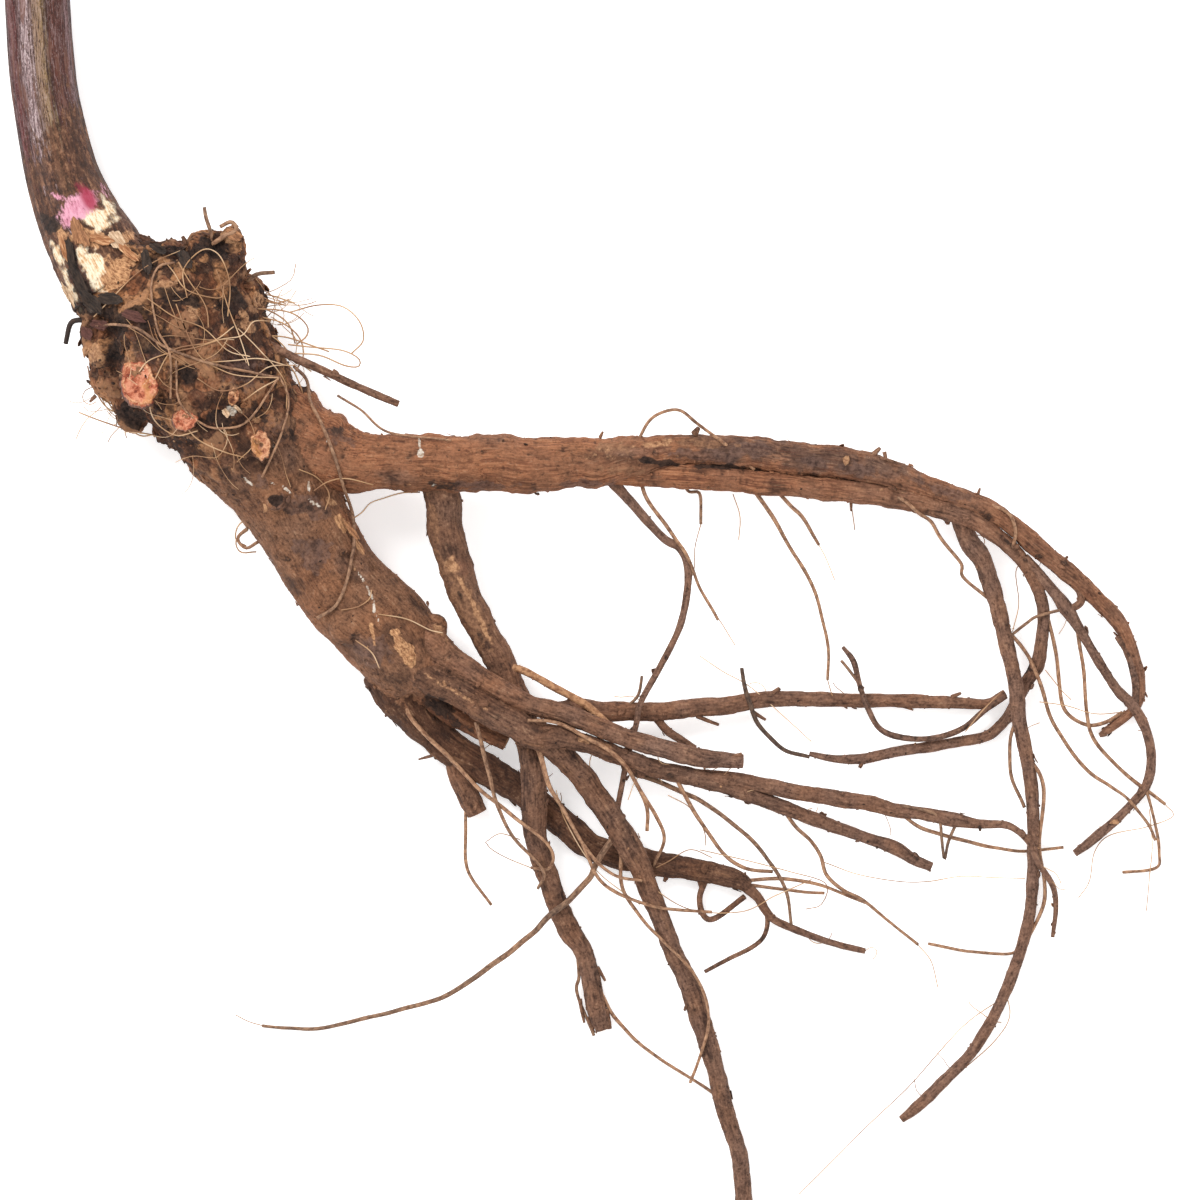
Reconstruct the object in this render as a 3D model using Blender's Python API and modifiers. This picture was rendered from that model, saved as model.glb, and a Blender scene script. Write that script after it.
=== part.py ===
"""Black cohosh root lying on its side: a knobbly rootstock with its roots and rootlets, and its stem's stub.

The routes of the roots are drawn on a square plan seen from above. A point of a route is
(right, down, height, radius), all four in plan units, and one plan unit is 0.2 mm.
"""

import math

import bmesh
import bpy
import numpy as np
from mathutils import Matrix, Vector, noise

PLAN_WIDTH = 0.240              # metres, the side of the square plan
PLAN_SQUARES = 1200             # plan units along that side
UNIT = PLAN_WIDTH / PLAN_SQUARES
PLAN_MIDDLE = (587.0, 600.0)    # the plan point that stands over the origin
NODE_GAP = 0.0003               # metres left between the stem and the socket it sits in
THINNEST_RADIUS = 1.6           # plan units, so that no rootlet is under 0.6 mm thick

CROWN_VOXEL = 0.0016            # metres, the grain of the rootstock's fused body
CROWN_TRIANGLES = 2500
BARK_WAVE = 26.0                # plan units between the lumps of the bark
BARK_HEIGHT = 4.2               # plan units, how far those lumps rise
THICK_LEVEL = 2                 # curve bevel levels: 8 sides round a woody root
THIN_LEVEL = 0                  # 4 sides round a rootlet
WOODY_SLACK = 1.7               # plan units that a woody root's rod may stray from its smooth line
THIN_SLACK = 1.7                # plan units that a rootlet's rod may stray
STUB_LEVEL = 3                  # 10 sides round a scar or a cut stub
STEM_LEVEL = 6                  # 16 sides round the stem
CUTTER_DEPTH = 0.020            # metres, the floor cutter's thickness

STEM = [
    (36, -10, 33, 33), (41, 60, 36, 33), (47, 107, 41, 33), (61, 171, 50, 36),
    (78, 216, 58, 41), (97, 252, 66, 46), (110, 273, 71, 48),
]

RHIZOME = [
    (108, 266, 71, 44), (128, 285, 73, 56), (150, 300, 73, 69), (180, 325, 75, 81), (212, 381, 72, 75),
    (247, 434, 70, 66), (283, 485, 61, 54), (309, 534, 54, 47), (342, 587, 49, 46),
    (384, 629, 45, 48), (406, 660, 44, 42), (418, 686, 42, 28),
]

# Swellings of the rootstock: (right, down, height, radius).
KNOBS = [
    (112, 337, 74, 32), (120, 372, 66, 30), (133, 417, 60, 15), (138, 398, 62, 26), (92, 300, 72, 20),
    (150, 322, 118, 34), (205, 345, 124, 32), (240, 375, 112, 30), (176, 372, 112, 32),
    (232, 240, 112, 13), (246, 300, 84, 24), (262, 345, 74, 22), (300, 405, 66, 20),
    (231, 452, 92, 26), (170, 430, 70, 18), (268, 500, 84, 16), (347, 629, 78, 17), (434, 628, 52, 14),
    (316, 560, 78, 22), (278, 543, 46, 16), (396, 640, 74, 22), (330, 480, 60, 20), (110, 262, 96, 14),
]

# Old stem scars and stubs: from inside the rootstock to the face of the scar.
STUBS = {
    "dead_stem_stub": [(204, 300, 88, 36), (214, 266, 108, 33), (221, 246, 120, 27)],
    "wide_scar": [(164, 368, 88, 24), (148, 381, 118, 24), (142, 386, 132, 22)],
    "lower_scar": [(203, 408, 92, 16), (190, 418, 124, 15), (187, 421, 136, 13)],
    "ringed_scar": [(260, 444, 96, 16), (263, 446, 132, 15), (263, 446, 141, 13)],
    "upper_scar": [(232, 392, 104, 13), (237, 396, 142, 12), (237, 397, 150, 10)],
    "side_scar": [(130, 350, 84, 20), (104, 352, 96, 17), (96, 352, 100, 15)],
    "knot": [(282, 498, 90, 12), (277, 501, 114, 10), (276, 502, 119, 8)],
}

WOODY_ROOTS = {
    "upper_root": [
        (262, 424, 66, 46), (310, 445, 74, 40), (345, 458, 78, 33), (380, 462, 80, 28),
        (500, 464, 78, 28.5), (560, 463, 75, 26), (620, 460, 72, 23), (682, 450, 68, 15.5),
        (744, 452, 62, 16.5), (805, 459, 58, 16.2), (866, 467, 53, 15.5), (917, 484, 50, 12.5),
        (990, 510, 46, 10), (1038, 548, 41, 10), (1082, 585, 34, 9), (1118, 621, 26, 8),
        (1137, 662, 16, 6), (1142, 682, 11, 5), (1139, 704, 8, 4.5), (1118, 724, 6, 4.5),
        (1105, 733, 6, 4),
    ],
    "lower_strand": [
        (590, 470, 68, 16), (620, 473, 67, 13), (682, 474.5, 66, 13.5), (744, 480, 62, 12.8),
        (805, 486.5, 57, 11.8), (868, 493, 52, 11.3), (917, 502, 49, 11.2), (956, 513, 47, 10.5),
        (985, 527, 45, 9), (1009, 546, 42, 8), (1026, 565, 39, 7), (1038, 587, 35, 6.5),
        (1044, 614, 30, 6.5), (1043, 638, 26, 6.5), (1038, 664, 21, 7.5), (1028, 682, 16, 6.5),
        (1012, 712, 10, 5.5), (999, 728, 8, 5.5), (985, 737, 8, 5.5), (956, 743, 9, 5.5),
        (893, 753, 12, 5), (861, 759, 13, 5.5), (836, 759, 14, 4), (810, 754, 15, 2.6),
    ],
    "dark_strand": [(1120, 636, 24, 5), (1130, 655, 19, 4.5), (1137, 682, 14, 4), (1137, 706, 9, 4)],
    "crossing_root": [
        (956, 508, 44, 9), (970, 541, 31, 10.5), (985, 565, 28, 9.5), (1003, 626, 33, 8),
        (1015, 682, 35, 7.5), (1020, 720, 32, 7.5), (1031, 776, 24, 7), (1034, 814, 20, 6.5),
        (1034, 882, 12, 6.2), (1029, 925, 9, 6), (1014, 974, 8, 6), (1004, 999, 9, 6),
        (984, 1036, 10, 5.7), (968, 1059, 8, 5.5), (921, 1106, 6, 6), (902, 1121, 5, 3.6),
    ],
    "outer_root": [
        (1024, 558, 40, 6), (1053, 590, 37, 5.5), (1067, 609, 33, 7), (1082, 633, 29, 5),
        (1116, 687, 19, 5), (1133, 704, 15, 5.5), (1145, 725, 12, 5), (1153, 754, 9, 5),
        (1149, 783, 7, 5), (1133, 805, 6, 4.5), (1094, 841, 6, 5), (1076, 854, 5, 3.6),
    ],
    "outer_twig": [(1046, 556, 40, 3.5), (1072, 577, 38, 4), (1082, 600, 35, 4), (1068, 611, 33, 4)],
    "middle_root": [
        (438, 474, 72, 18), (444, 507, 66, 17.5), (447, 534, 62, 18), (456, 567, 58, 17),
        (473, 612, 52, 15.3), (498, 658, 46, 15), (512, 690, 42, 14.5), (524, 725, 42, 13.5),
        (532, 757, 43, 12.6), (534, 815, 40, 12.9), (537, 843, 34, 10.8), (556, 901, 20, 10.9),
        (569, 930, 15, 11), (586, 958, 12, 9.3), (597, 1012, 10, 9.7), (603, 1031, 9, 7),
    ],
    "front_root": [
        (425, 642, 60, 20), (455, 662, 66, 13), (482, 678, 70, 11), (527, 703, 71, 9.5),
        (580, 719, 68, 10), (637, 741, 63, 9.5), (695, 757, 60, 9.5), (723, 760, 59, 8),
        (743, 761, 58, 7),
    ],
    "front_fork": [
        (400, 655, 58, 26), (426, 677, 62, 18), (455, 690, 66, 14), (483, 707, 70, 14.5),
        (512, 723, 72, 15), (535, 735, 71, 14), (556, 737, 68, 12), (589, 744, 62, 9.5),
        (647, 766, 53, 9), (704, 780, 46, 9), (733, 789, 42, 8), (771, 803, 36, 7.5),
        (833, 826, 27, 6.5), (868, 839, 23, 6), (895, 848, 20, 7), (914, 860, 18, 5.5),
        (932, 868, 17, 5),
    ],
    "fork_tip": [
        (690, 776, 48, 8), (743, 781, 44, 7.5), (800, 793, 40, 8), (857, 801, 36, 8), (893, 810, 32, 7),
        (922, 814, 30, 6.5), (953, 819, 30, 7.5), (975, 824, 30, 5), (1004, 825, 31, 4),
        (1019, 832, 31, 3.5), (1031, 844, 30, 3.5), (1039, 863, 25, 3.2), (1054, 887, 17, 3),
        (1057, 910, 11, 2.6), (1054, 938, 5, 2),
    ],
    "long_root": [
        (530, 730, 66, 14), (550, 745, 60, 13), (570, 764, 52, 12), (596, 796, 46, 12.2),
        (631, 850, 40, 12.5), (646, 881, 34, 10.5), (671, 947, 23, 9.6), (688, 981, 18, 10),
        (699, 1016, 15, 10.5), (718, 1077, 10, 9), (725, 1109, 9.5, 9), (736, 1142, 9, 8),
        (742, 1170, 9, 8.6), (744, 1212, 9, 8.7),
    ],
    "under_root": [
        (392, 670, 30, 30), (402, 696, 24, 26), (422, 722, 21, 19.5), (455, 751, 18, 17),
        (483, 767, 16.5, 15.5), (540, 806, 14, 13.5), (562, 824, 15, 14.5), (589, 845, 15, 14),
        (613, 855, 14, 13.5), (687, 868, 14, 11.5), (714, 873, 16, 11), (739, 881, 18, 9.5),
        (749, 887, 18, 7),
    ],
    "hidden_root": [(425, 685, 40, 17), (450, 712, 36, 12), (480, 728, 34, 11), (507, 741, 36, 10)],
    "broken_stub": [(452, 750, 18, 12), (460, 774, 15, 12), (469, 797, 13, 11.5), (477, 814, 12, 10.5)],
    "level_root": [
        (548, 713, 64, 9), (580, 708, 50, 9.5), (609, 711, 38, 9.5), (666, 711, 29, 9.3),
        (723, 706, 24, 9), (781, 699, 20, 8), (838, 700, 16, 7), (917, 702, 12, 7), (970, 704, 10, 5.5),
        (990, 703, 10, 5), (1006, 693, 12, 3.6),
    ],
    "level_twig": [(650, 710, 28, 4.5), (666, 730, 26, 4.2), (681, 740, 24, 4), (695, 749, 22, 3.5)],
    "hooked_root": [
        (1007, 696, 13, 3), (985, 711, 16, 3), (965, 728, 18, 3), (941, 737, 19, 3), (912, 739, 19, 3),
        (883, 731, 20, 3), (868, 708, 25, 2.8), (860, 684, 28, 2.6), (854, 662, 30, 3),
        (843, 647, 32, 2),
    ],
    "arched_root": [
        (606, 474, 66, 6.5), (627, 498, 62, 5), (662, 537, 58, 4.5), (680, 549, 57, 4),
        (688, 575, 56, 3.9), (682, 620, 54, 3.6), (662, 663, 50, 3.3), (641, 702, 47, 3),
        (636, 725, 45, 3), (626, 764, 38, 3), (618, 808, 32, 2.6),
    ],
    "twisted_root": [
        (742, 884, 18, 6), (758, 898, 16, 5), (767, 912, 13, 4.5), (779, 923, 11, 4), (815, 938, 8, 3.5),
        (841, 946, 6, 3.2), (866, 952, 5, 3),
    ],
    "twisted_loop": [
        (708, 876, 12, 3.4), (700, 898, 8, 3), (704, 917, 6, 3), (716, 919, 8, 3), (745, 897, 15, 3),
    ],
    "twisted_tail": [
        (763, 903, 12, 2.6), (768, 921, 9, 2.5), (764, 938, 7, 2.4), (751, 949, 6, 2.3),
        (729, 960, 5, 2.2), (705, 973, 4, 2),
    ],
    "tan_root": [
        (506, 667, 50, 3.5), (524, 671, 54, 3.8), (570, 696, 57, 4), (589, 707, 60, 4),
        (607, 724, 64, 4),
    ],
    "crown_root": [
        (256, 338, 96, 5), (270, 346, 94, 4.5), (308, 364, 92, 4.2), (367, 391, 86, 4),
        (399, 404, 82, 3.6),
    ],
    "fork_knob": [(632, 762, 52, 6), (639, 771, 44, 7), (644, 776, 40, 4)],
}

ROOTLETS = {
    "left_rootlet": [
        (618, 832, 44, 3.2), (596, 864, 38, 3.2), (587, 882, 37, 3.2), (550, 916, 35, 3.2),
        (531, 935, 31, 3), (492, 966, 20, 3), (449, 995, 11, 2.6), (424, 1004, 8, 2.4),
        (384, 1015, 6, 2.3), (322, 1029, 4, 2), (291, 1030, 3, 1.8), (261, 1027, 3, 1.6),
    ],
    "inner_a": [
        (1044, 604, 32, 2), (1056, 650, 24, 2), (1060, 682, 18, 2), (1067, 711, 12, 2),
        (1087, 725, 9, 2), (1106, 723, 8, 2), (1124, 713, 8, 2),
    ],
    "inner_b": [
        (1077, 626, 30, 2), (1085, 674, 22, 2), (1088, 711, 16, 2), (1094, 737, 12, 2),
        (1111, 759, 9, 2), (1142, 786, 7, 2), (1167, 805, 5, 1.8),
    ],
    "inner_c": [
        (1006, 628, 34, 2), (1028, 655, 31, 2), (1039, 677, 29, 2), (1055, 725, 18, 2),
        (1087, 769, 10, 2), (1111, 786, 10, 1.8), (1130, 800, 13, 1.6), (1149, 824, 8, 1.6),
        (1157, 841, 5, 1.6),
    ],
    "inner_d": [(1147, 788, 8, 1.6), (1157, 824, 6, 1.6), (1161, 853, 4, 1.6), (1158, 869, 3, 1.6),
                (1124, 873, 3, 1.6)],
    "inner_e": [(1006, 640, 34, 1.6), (1026, 624, 38, 1.6), (1038, 616, 40, 1.6), (1068, 608, 34, 1.6)],
    "side_a": [(1018, 716, 32, 1.9), (1011, 740, 29, 1.9), (1012, 775, 24, 1.9), (1025, 808, 20, 1.9)],
    "side_b": [
        (1030, 758, 27, 2), (1041, 776, 26, 2), (1045, 800, 23, 2), (1040, 846, 18, 2),
        (1046, 882, 13, 2), (1043, 910, 10, 2), (1026, 943, 7, 1.8), (1010, 955, 5, 1.6),
        (970, 952, 3, 1.6), (929, 945, 3, 1.6),
    ],
    "arch_side": [
        (640, 480, 62, 2), (648, 500, 65, 2), (674, 537, 65, 2), (685, 552, 64, 1.8),
        (693, 570, 60, 1.7), (701, 590, 55, 1.6), (718, 620, 46, 1.6),
    ],
    "gap_long": [
        (750, 486, 58, 2.2), (772, 516, 53, 2.2), (791, 549, 48, 2), (811, 582, 42, 2),
        (823, 620, 36, 1.8), (829, 653, 30, 1.7), (828, 680, 26, 1.6),
    ],
    "gap_short": [(774, 488, 56, 2), (791, 506, 53, 2), (803, 518, 51, 2), (819, 545, 46, 1.7)],
    "strand_side": [(888, 494, 56, 1.8), (905, 502, 62, 1.8), (919, 514, 59, 1.8), (931, 522, 51, 1.8),
                    (941, 539, 46, 1.8), (961, 563, 38, 1.8), (963, 577, 35, 1.8), (988, 598, 31, 1.8)],
    "strand_top": [
        (992, 505, 53, 1.8), (1009, 514, 55, 1.8), (1015, 530, 54, 1.8), (1013, 546, 48, 1.8),
    ],
    "top_loop": [(638, 441, 76, 1.7), (648, 422, 79, 1.7), (662, 413, 82, 1.7), (680, 411, 84, 1.7),
                 (697, 424, 84, 1.7), (723, 443, 78, 1.7), (754, 470, 66, 1.7)],
    "drop_stub": [(680, 474, 64, 1.7), (688, 491, 58, 1.7), (700, 494, 56, 1.7), (701, 524, 50, 1.6)],
    "pale_side": [
        (396, 690, 36, 2.6), (405, 703, 43, 2.4), (415, 723, 44, 2.3), (459, 767, 42, 2.2),
        (482, 792, 46, 2), (509, 813, 51, 2), (541, 838, 56, 1.7), (553, 855, 50, 1.6),
        (548, 869, 44, 1.6), (531, 868, 38, 1.6),
    ],
    "fork_side": [(476, 722, 66, 2.2), (487, 767, 54, 2.2), (497, 803, 52, 2), (512, 836, 52, 1.8),
                  (543, 870, 44, 1.6), (538, 889, 34, 1.6)],
    "cross_a": [(538, 748, 66, 2.8), (548, 782, 62, 2.5), (560, 803, 59, 2.2), (585, 847, 54, 1.8),
                (612, 874, 52, 1.6), (642, 881, 45, 1.6)],
    "cross_b": [(583, 844, 54, 1.8), (598, 878, 48, 1.8), (617, 893, 43, 1.8), (642, 903, 43, 1.6),
                (671, 910, 38, 1.6), (712, 912, 28, 1.6)],
    "cross_c": [
        (621, 850, 40, 2), (623, 888, 34, 2), (645, 923, 31, 1.7), (664, 942, 34, 1.6),
        (688, 966, 34, 1.6), (703, 992, 27, 1.6), (709, 1020, 28, 1.6), (703, 1049, 23, 1.6),
        (690, 1084, 13, 1.6),
    ],
    "fork_top": [
        (528, 720, 86, 1.7), (556, 722, 81, 1.8), (587, 738, 74, 2.2), (608, 749, 70, 2.2),
        (623, 763, 66, 2.2), (637, 785, 58, 2), (656, 816, 50, 2), (664, 840, 42, 1.8),
        (654, 866, 24, 1.7),
    ],
    "fork_top_b": [(636, 783, 58, 2), (647, 808, 50, 2), (647, 831, 44, 1.8)],
    "under_fork_a": [(672, 770, 53, 2.2), (687, 799, 46, 2.2), (718, 847, 32, 2), (743, 868, 24, 2),
                     (773, 872, 17, 1.8)],
    "under_fork_b": [(642, 776, 40, 2.6), (685, 793, 38, 2.5), (704, 803, 36, 2.3), (746, 835, 32, 2.2),
                     (773, 866, 24, 2), (787, 895, 17, 1.8), (792, 926, 12, 1.6)],
    "under_fork_c": [
        (781, 806, 35, 2), (796, 827, 30, 2), (811, 841, 28, 2), (821, 856, 25, 2), (827, 875, 21, 2),
        (844, 891, 18, 2), (865, 902, 15, 1.8), (890, 922, 11, 1.6), (919, 946, 7, 1.6),
    ],
    "under_tip_a": [(742, 882, 18, 2), (781, 879, 17, 2), (819, 885, 14, 1.8), (867, 904, 11, 1.6)],
    "under_tip_b": [(750, 886, 15, 1.8), (798, 892, 10, 1.6), (825, 894, 8, 1.6)],
    "tip_side": [
        (900, 813, 30, 2), (924, 829, 28, 2), (965, 841, 20, 2), (994, 848, 12, 1.8),
        (1024, 852, 5, 1.6), (1065, 848, 5, 1.6),
    ],
    "tip_hook": [(903, 806, 37, 1.7), (927, 811, 37, 1.7), (939, 819, 34, 1.6), (942, 840, 28, 1.6),
                 (945, 860, 22, 1.6), (949, 842, 26, 1.6), (957, 823, 29, 1.6)],
    "level_cross": [(742, 668, 36, 2), (745, 686, 34, 2.3), (750, 703, 32, 2.5), (760, 726, 26, 2.3),
                    (783, 749, 20, 2.2), (810, 757, 16, 2)],
    "level_spur": [(628, 706, 38, 1.6), (638, 695, 42, 1.6), (642, 676, 44, 1.6)],
    "hook_spur": [(858, 682, 28, 1.7), (841, 661, 29, 1.6)],
    "stub_rootlet": [(466, 806, 14, 1.9), (465, 834, 10, 1.8), (466, 863, 7, 1.8), (472, 880, 5, 1.6),
                     (491, 906, 4, 1.6)],
    "middle_side": [(577, 948, 15, 1.8), (579, 977, 10, 1.8), (577, 994, 8, 1.8), (594, 1037, 6, 1.6)],
    "middle_tip": [
        (600, 992, 12, 2), (616, 1020, 8, 2), (647, 1051, 5, 1.8), (690, 1079, 3, 1.6),
        (714, 1095, 3, 1.6),
    ],
    "crown_spur": [(240, 290, 96, 2.6), (250, 282, 100, 2.5), (258, 276, 102, 2.4), (276, 274, 102, 2)],
    "knob_spur": [(206, 209, 122, 1.8), (208, 220, 122, 2), (213, 236, 120, 2), (212, 250, 116, 2)],
    "knob_loop": [(214, 246, 120, 2.4), (226, 238, 124, 2.5), (238, 232, 124, 2.4), (233, 224, 122, 2.2),
                  (222, 229, 122, 2)],
    "black_hook": [(90, 322, 80, 3), (79, 321, 78, 2.8), (71, 325, 76, 2.8), (66, 344, 72, 2.4)],
    "left_tuft": [(198, 448, 84, 1.7), (216, 466, 76, 1.7), (226, 490, 66, 1.7), (236, 510, 58, 1.7),
                  (249, 528, 54, 1.7)],
    "left_ring": [(250, 526, 52, 1.7), (238, 538, 48, 1.7), (246, 548, 46, 1.7), (258, 542, 46, 1.7)],
}

# Rootlets that lie on the rootstock's bark: (right, down, radius), the height comes from the bark.
BARK_ROOTLETS = {
    "bark_a": [
        (98, 327, 2), (117, 326, 2), (140, 330, 1.9), (167, 348, 1.8), (203, 362, 1.7), (244, 372, 1.6),
        (280, 379, 1.6),
    ],
    "bark_b": [
        (177, 265, 1.6), (161, 269, 1.6), (154, 290, 1.6), (161, 331, 1.6), (173, 356, 1.6),
        (173, 400, 1.6),
    ],
    "bark_c": [
        (280, 379, 1.6), (251, 421, 1.6), (228, 429, 1.6), (205, 425, 1.6), (182, 402, 1.6),
        (179, 362, 1.6),
    ],
    "bark_d": [
        (295, 367, 2.4), (307, 381, 2.4), (312, 404, 2.4), (324, 427, 2.3), (335, 456, 2.2),
        (345, 489, 2), (354, 520, 2), (353, 555, 1.8), (340, 601, 1.7), (318, 618, 1.6),
    ],
    "bark_e": [(338, 396, 1.7), (361, 410, 1.7), (390, 433, 1.7), (452, 441, 1.6)],
    "bark_f": [(280, 377, 1.6), (290, 400, 1.6), (284, 432, 1.6), (264, 478, 1.6)],
}
BARK_LIFT = 1.2                 # plan units from the bark to a rootlet's centreline


def place(right, down, height):
    """The world position, in metres, of a plan point."""
    return Vector(((right - PLAN_MIDDLE[0]) * UNIT, (PLAN_MIDDLE[1] - down) * UNIT, height * UNIT))


def flowing(route, steps=6):
    """The route as a smooth run of points through its own, a Catmull-Rom spline in all its columns."""
    points = np.array(route, float)
    ends = np.vstack([2 * points[0] - points[1], points, 2 * points[-1] - points[-2]])
    run = []
    for before, start, stop, after in zip(ends, ends[1:], ends[2:], ends[3:]):
        for t in np.arange(steps) / steps:
            run.append(0.5 * (2 * start + (stop - before) * t
                              + (2 * before - 5 * start + 4 * stop - after) * t ** 2
                              + (3 * start - before - 3 * stop + after) * t ** 3))
    run.append(points[-1])
    return np.array(run)


def thinned(points, slack):
    """Only the points that the run needs to stay within slack of its own line."""
    if len(points) < 3:
        return points
    along = points[-1] - points[0]
    share = np.clip((points - points[0]) @ along / max(along @ along, 1e-9), 0, 1)
    off = np.linalg.norm(points - points[0] - share[:, None] * along, axis=1)
    worst = int(off.argmax())
    if off[worst] <= slack:
        return points[[0, -1]]
    return np.vstack([thinned(points[:worst + 1], slack)[:-1], thinned(points[worst:], slack)])


def bark_height(right, down):
    """How high the rootstock's or the upper root's upper side stands at a plan point."""
    best = 0.0
    for route in (RHIZOME, WOODY_ROOTS["upper_root"][:6]):
        for x, y, z, radius in flowing(route):
            inside = radius ** 2 - (right - x) ** 2 - (down - y) ** 2
            best = max(best, z + math.sqrt(max(inside, 0.0)) if inside > 0 else z)
    for x, y, z, radius in KNOBS:
        inside = radius ** 2 - (right - x) ** 2 - (down - y) ** 2
        if inside > 0:
            best = max(best, z + math.sqrt(inside))
    return best


def on_bark(route):
    """A bark rootlet's route with its heights."""
    run = flowing(route, 3)
    return [(x, y, bark_height(x, y) + BARK_LIFT, radius) for x, y, radius in run]


def solid_object(name, mesh, collection):
    obj = bpy.data.objects.new(name, mesh)
    collection.objects.link(obj)
    return obj


def applied(obj):
    """Makes the object's modifiers permanent."""
    graph = bpy.context.evaluated_depsgraph_get()
    mesh = bpy.data.meshes.new_from_object(obj.evaluated_get(graph))
    obj.modifiers.clear()
    obj.data = mesh
    return obj


def tube(name, route, level, slack, collection, fatter=0.0):
    """A round rod along the route, its radius that of the route's points, closed at both ends."""
    run = thinned(flowing(route), slack)
    curve = bpy.data.curves.new(name, "CURVE")
    curve.dimensions = "3D"
    curve.twist_mode = "MINIMUM"
    curve.bevel_depth = UNIT
    curve.bevel_resolution = level
    curve.use_fill_caps = True
    spline = curve.splines.new("POLY")
    spline.points.add(len(run) - 1)
    for point, (x, y, z, radius) in zip(spline.points, run):
        point.co = (*place(x, y, z), 1.0)
        point.radius = max(radius, THINNEST_RADIUS) + fatter
    guide = solid_object(name + "_curve", curve, collection)
    bpy.context.view_layer.update()
    mesh = bpy.data.meshes.new_from_object(guide.evaluated_get(bpy.context.evaluated_depsgraph_get()))
    bpy.data.objects.remove(guide)
    cage = bmesh.new()
    cage.from_mesh(mesh)
    bmesh.ops.remove_doubles(cage, verts=cage.verts, dist=1e-6)
    bmesh.ops.recalc_face_normals(cage, faces=cage.faces)
    cage.to_mesh(mesh)
    cage.free()
    return solid_object(name, mesh, collection)


def ball(name, knob, collection):
    """A round swelling."""
    x, y, z, radius = knob
    cage = bmesh.new()
    spot = Matrix.Translation(place(x, y, z))
    bmesh.ops.create_icosphere(cage, subdivisions=2, radius=radius * UNIT, matrix=spot)
    mesh = bpy.data.meshes.new(name)
    cage.to_mesh(mesh)
    cage.free()
    return solid_object(name, mesh, collection)


def joined(name, first, rest, collection):
    """The first object with every object of the collection rest fused to it."""
    first.name = name
    union = first.modifiers.new("fuse", "BOOLEAN")
    union.operation = "UNION"
    union.operand_type = "COLLECTION"
    union.collection = rest
    union.solver = "MANIFOLD"
    applied(first)
    for piece in list(rest.objects):
        bpy.data.objects.remove(piece)
    return first


def roughened(obj):
    """Gives the rootstock's body its lumpy bark, then brings it down to few faces."""
    remesh = obj.modifiers.new("one_skin", "REMESH")
    remesh.mode = "VOXEL"
    remesh.voxel_size = CROWN_VOXEL
    applied(obj)
    wave = BARK_WAVE * UNIT
    for vertex in obj.data.vertices:
        lump = noise.noise(vertex.co / wave) + 0.5 * noise.noise(vertex.co * 2.3 / wave)
        vertex.co += vertex.normal * lump * BARK_HEIGHT * UNIT
    thin = obj.modifiers.new("fewer_faces", "DECIMATE")
    thin.ratio = CROWN_TRIANGLES / (2 * len(obj.data.polygons))
    return applied(obj)


def cut_by(obj, cutter):
    difference = obj.modifiers.new("cut_by_" + cutter.name, "BOOLEAN")
    difference.operation = "DIFFERENCE"
    difference.object = cutter
    difference.solver = "MANIFOLD"


def as_cutter(obj):
    obj.hide_render = True
    obj.display_type = "WIRE"
    return obj


def floor_cutter(collection):
    """A slab under the plane that the root lies on, which flattens the lowest swellings a little."""
    cage = bmesh.new()
    size = Matrix.Diagonal((2 * PLAN_WIDTH, 2 * PLAN_WIDTH, CUTTER_DEPTH, 1))
    bmesh.ops.create_cube(cage, size=1, matrix=Matrix.Translation((0, 0, -CUTTER_DEPTH / 2)) @ size)
    mesh = bpy.data.meshes.new("floor_slab")
    cage.to_mesh(mesh)
    cage.free()
    return as_cutter(solid_object("floor_slab", mesh, collection))


def material(name, colour, roughness):
    made = bpy.data.materials.new(name)
    made.use_nodes = True
    shader = made.node_tree.nodes["Principled BSDF"]
    shader.inputs["Base Color"].default_value = (*colour, 1)
    shader.inputs["Roughness"].default_value = roughness
    shader.inputs["Metallic"].default_value = 0
    return made


def rootstock(parts, scratch):
    """The rhizome with its knobs, scars, roots and rootlets, grown together as one piece."""
    body = tube("rootstock", RHIZOME, STUB_LEVEL, 1.0, parts)
    for number, knob in enumerate(KNOBS):
        ball(f"knob_{number}", knob, scratch)
    tube("root_collar", WOODY_ROOTS["upper_root"][:5], STUB_LEVEL, 1.0, scratch)
    joined("rootstock", body, scratch, parts)
    roughened(body)
    for name, route in STUBS.items():
        tube(name, route, STUB_LEVEL, 1.0, scratch)
    for name, route in WOODY_ROOTS.items():
        tube(name, route, THICK_LEVEL, WOODY_SLACK, scratch)
    for name, route in ROOTLETS.items():
        tube(name, route, THIN_LEVEL, THIN_SLACK, scratch)
    for name, route in BARK_ROOTLETS.items():
        tube(name, on_bark(route), THIN_LEVEL, THIN_SLACK, scratch)
    return joined("rootstock", body, scratch, parts)


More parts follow.
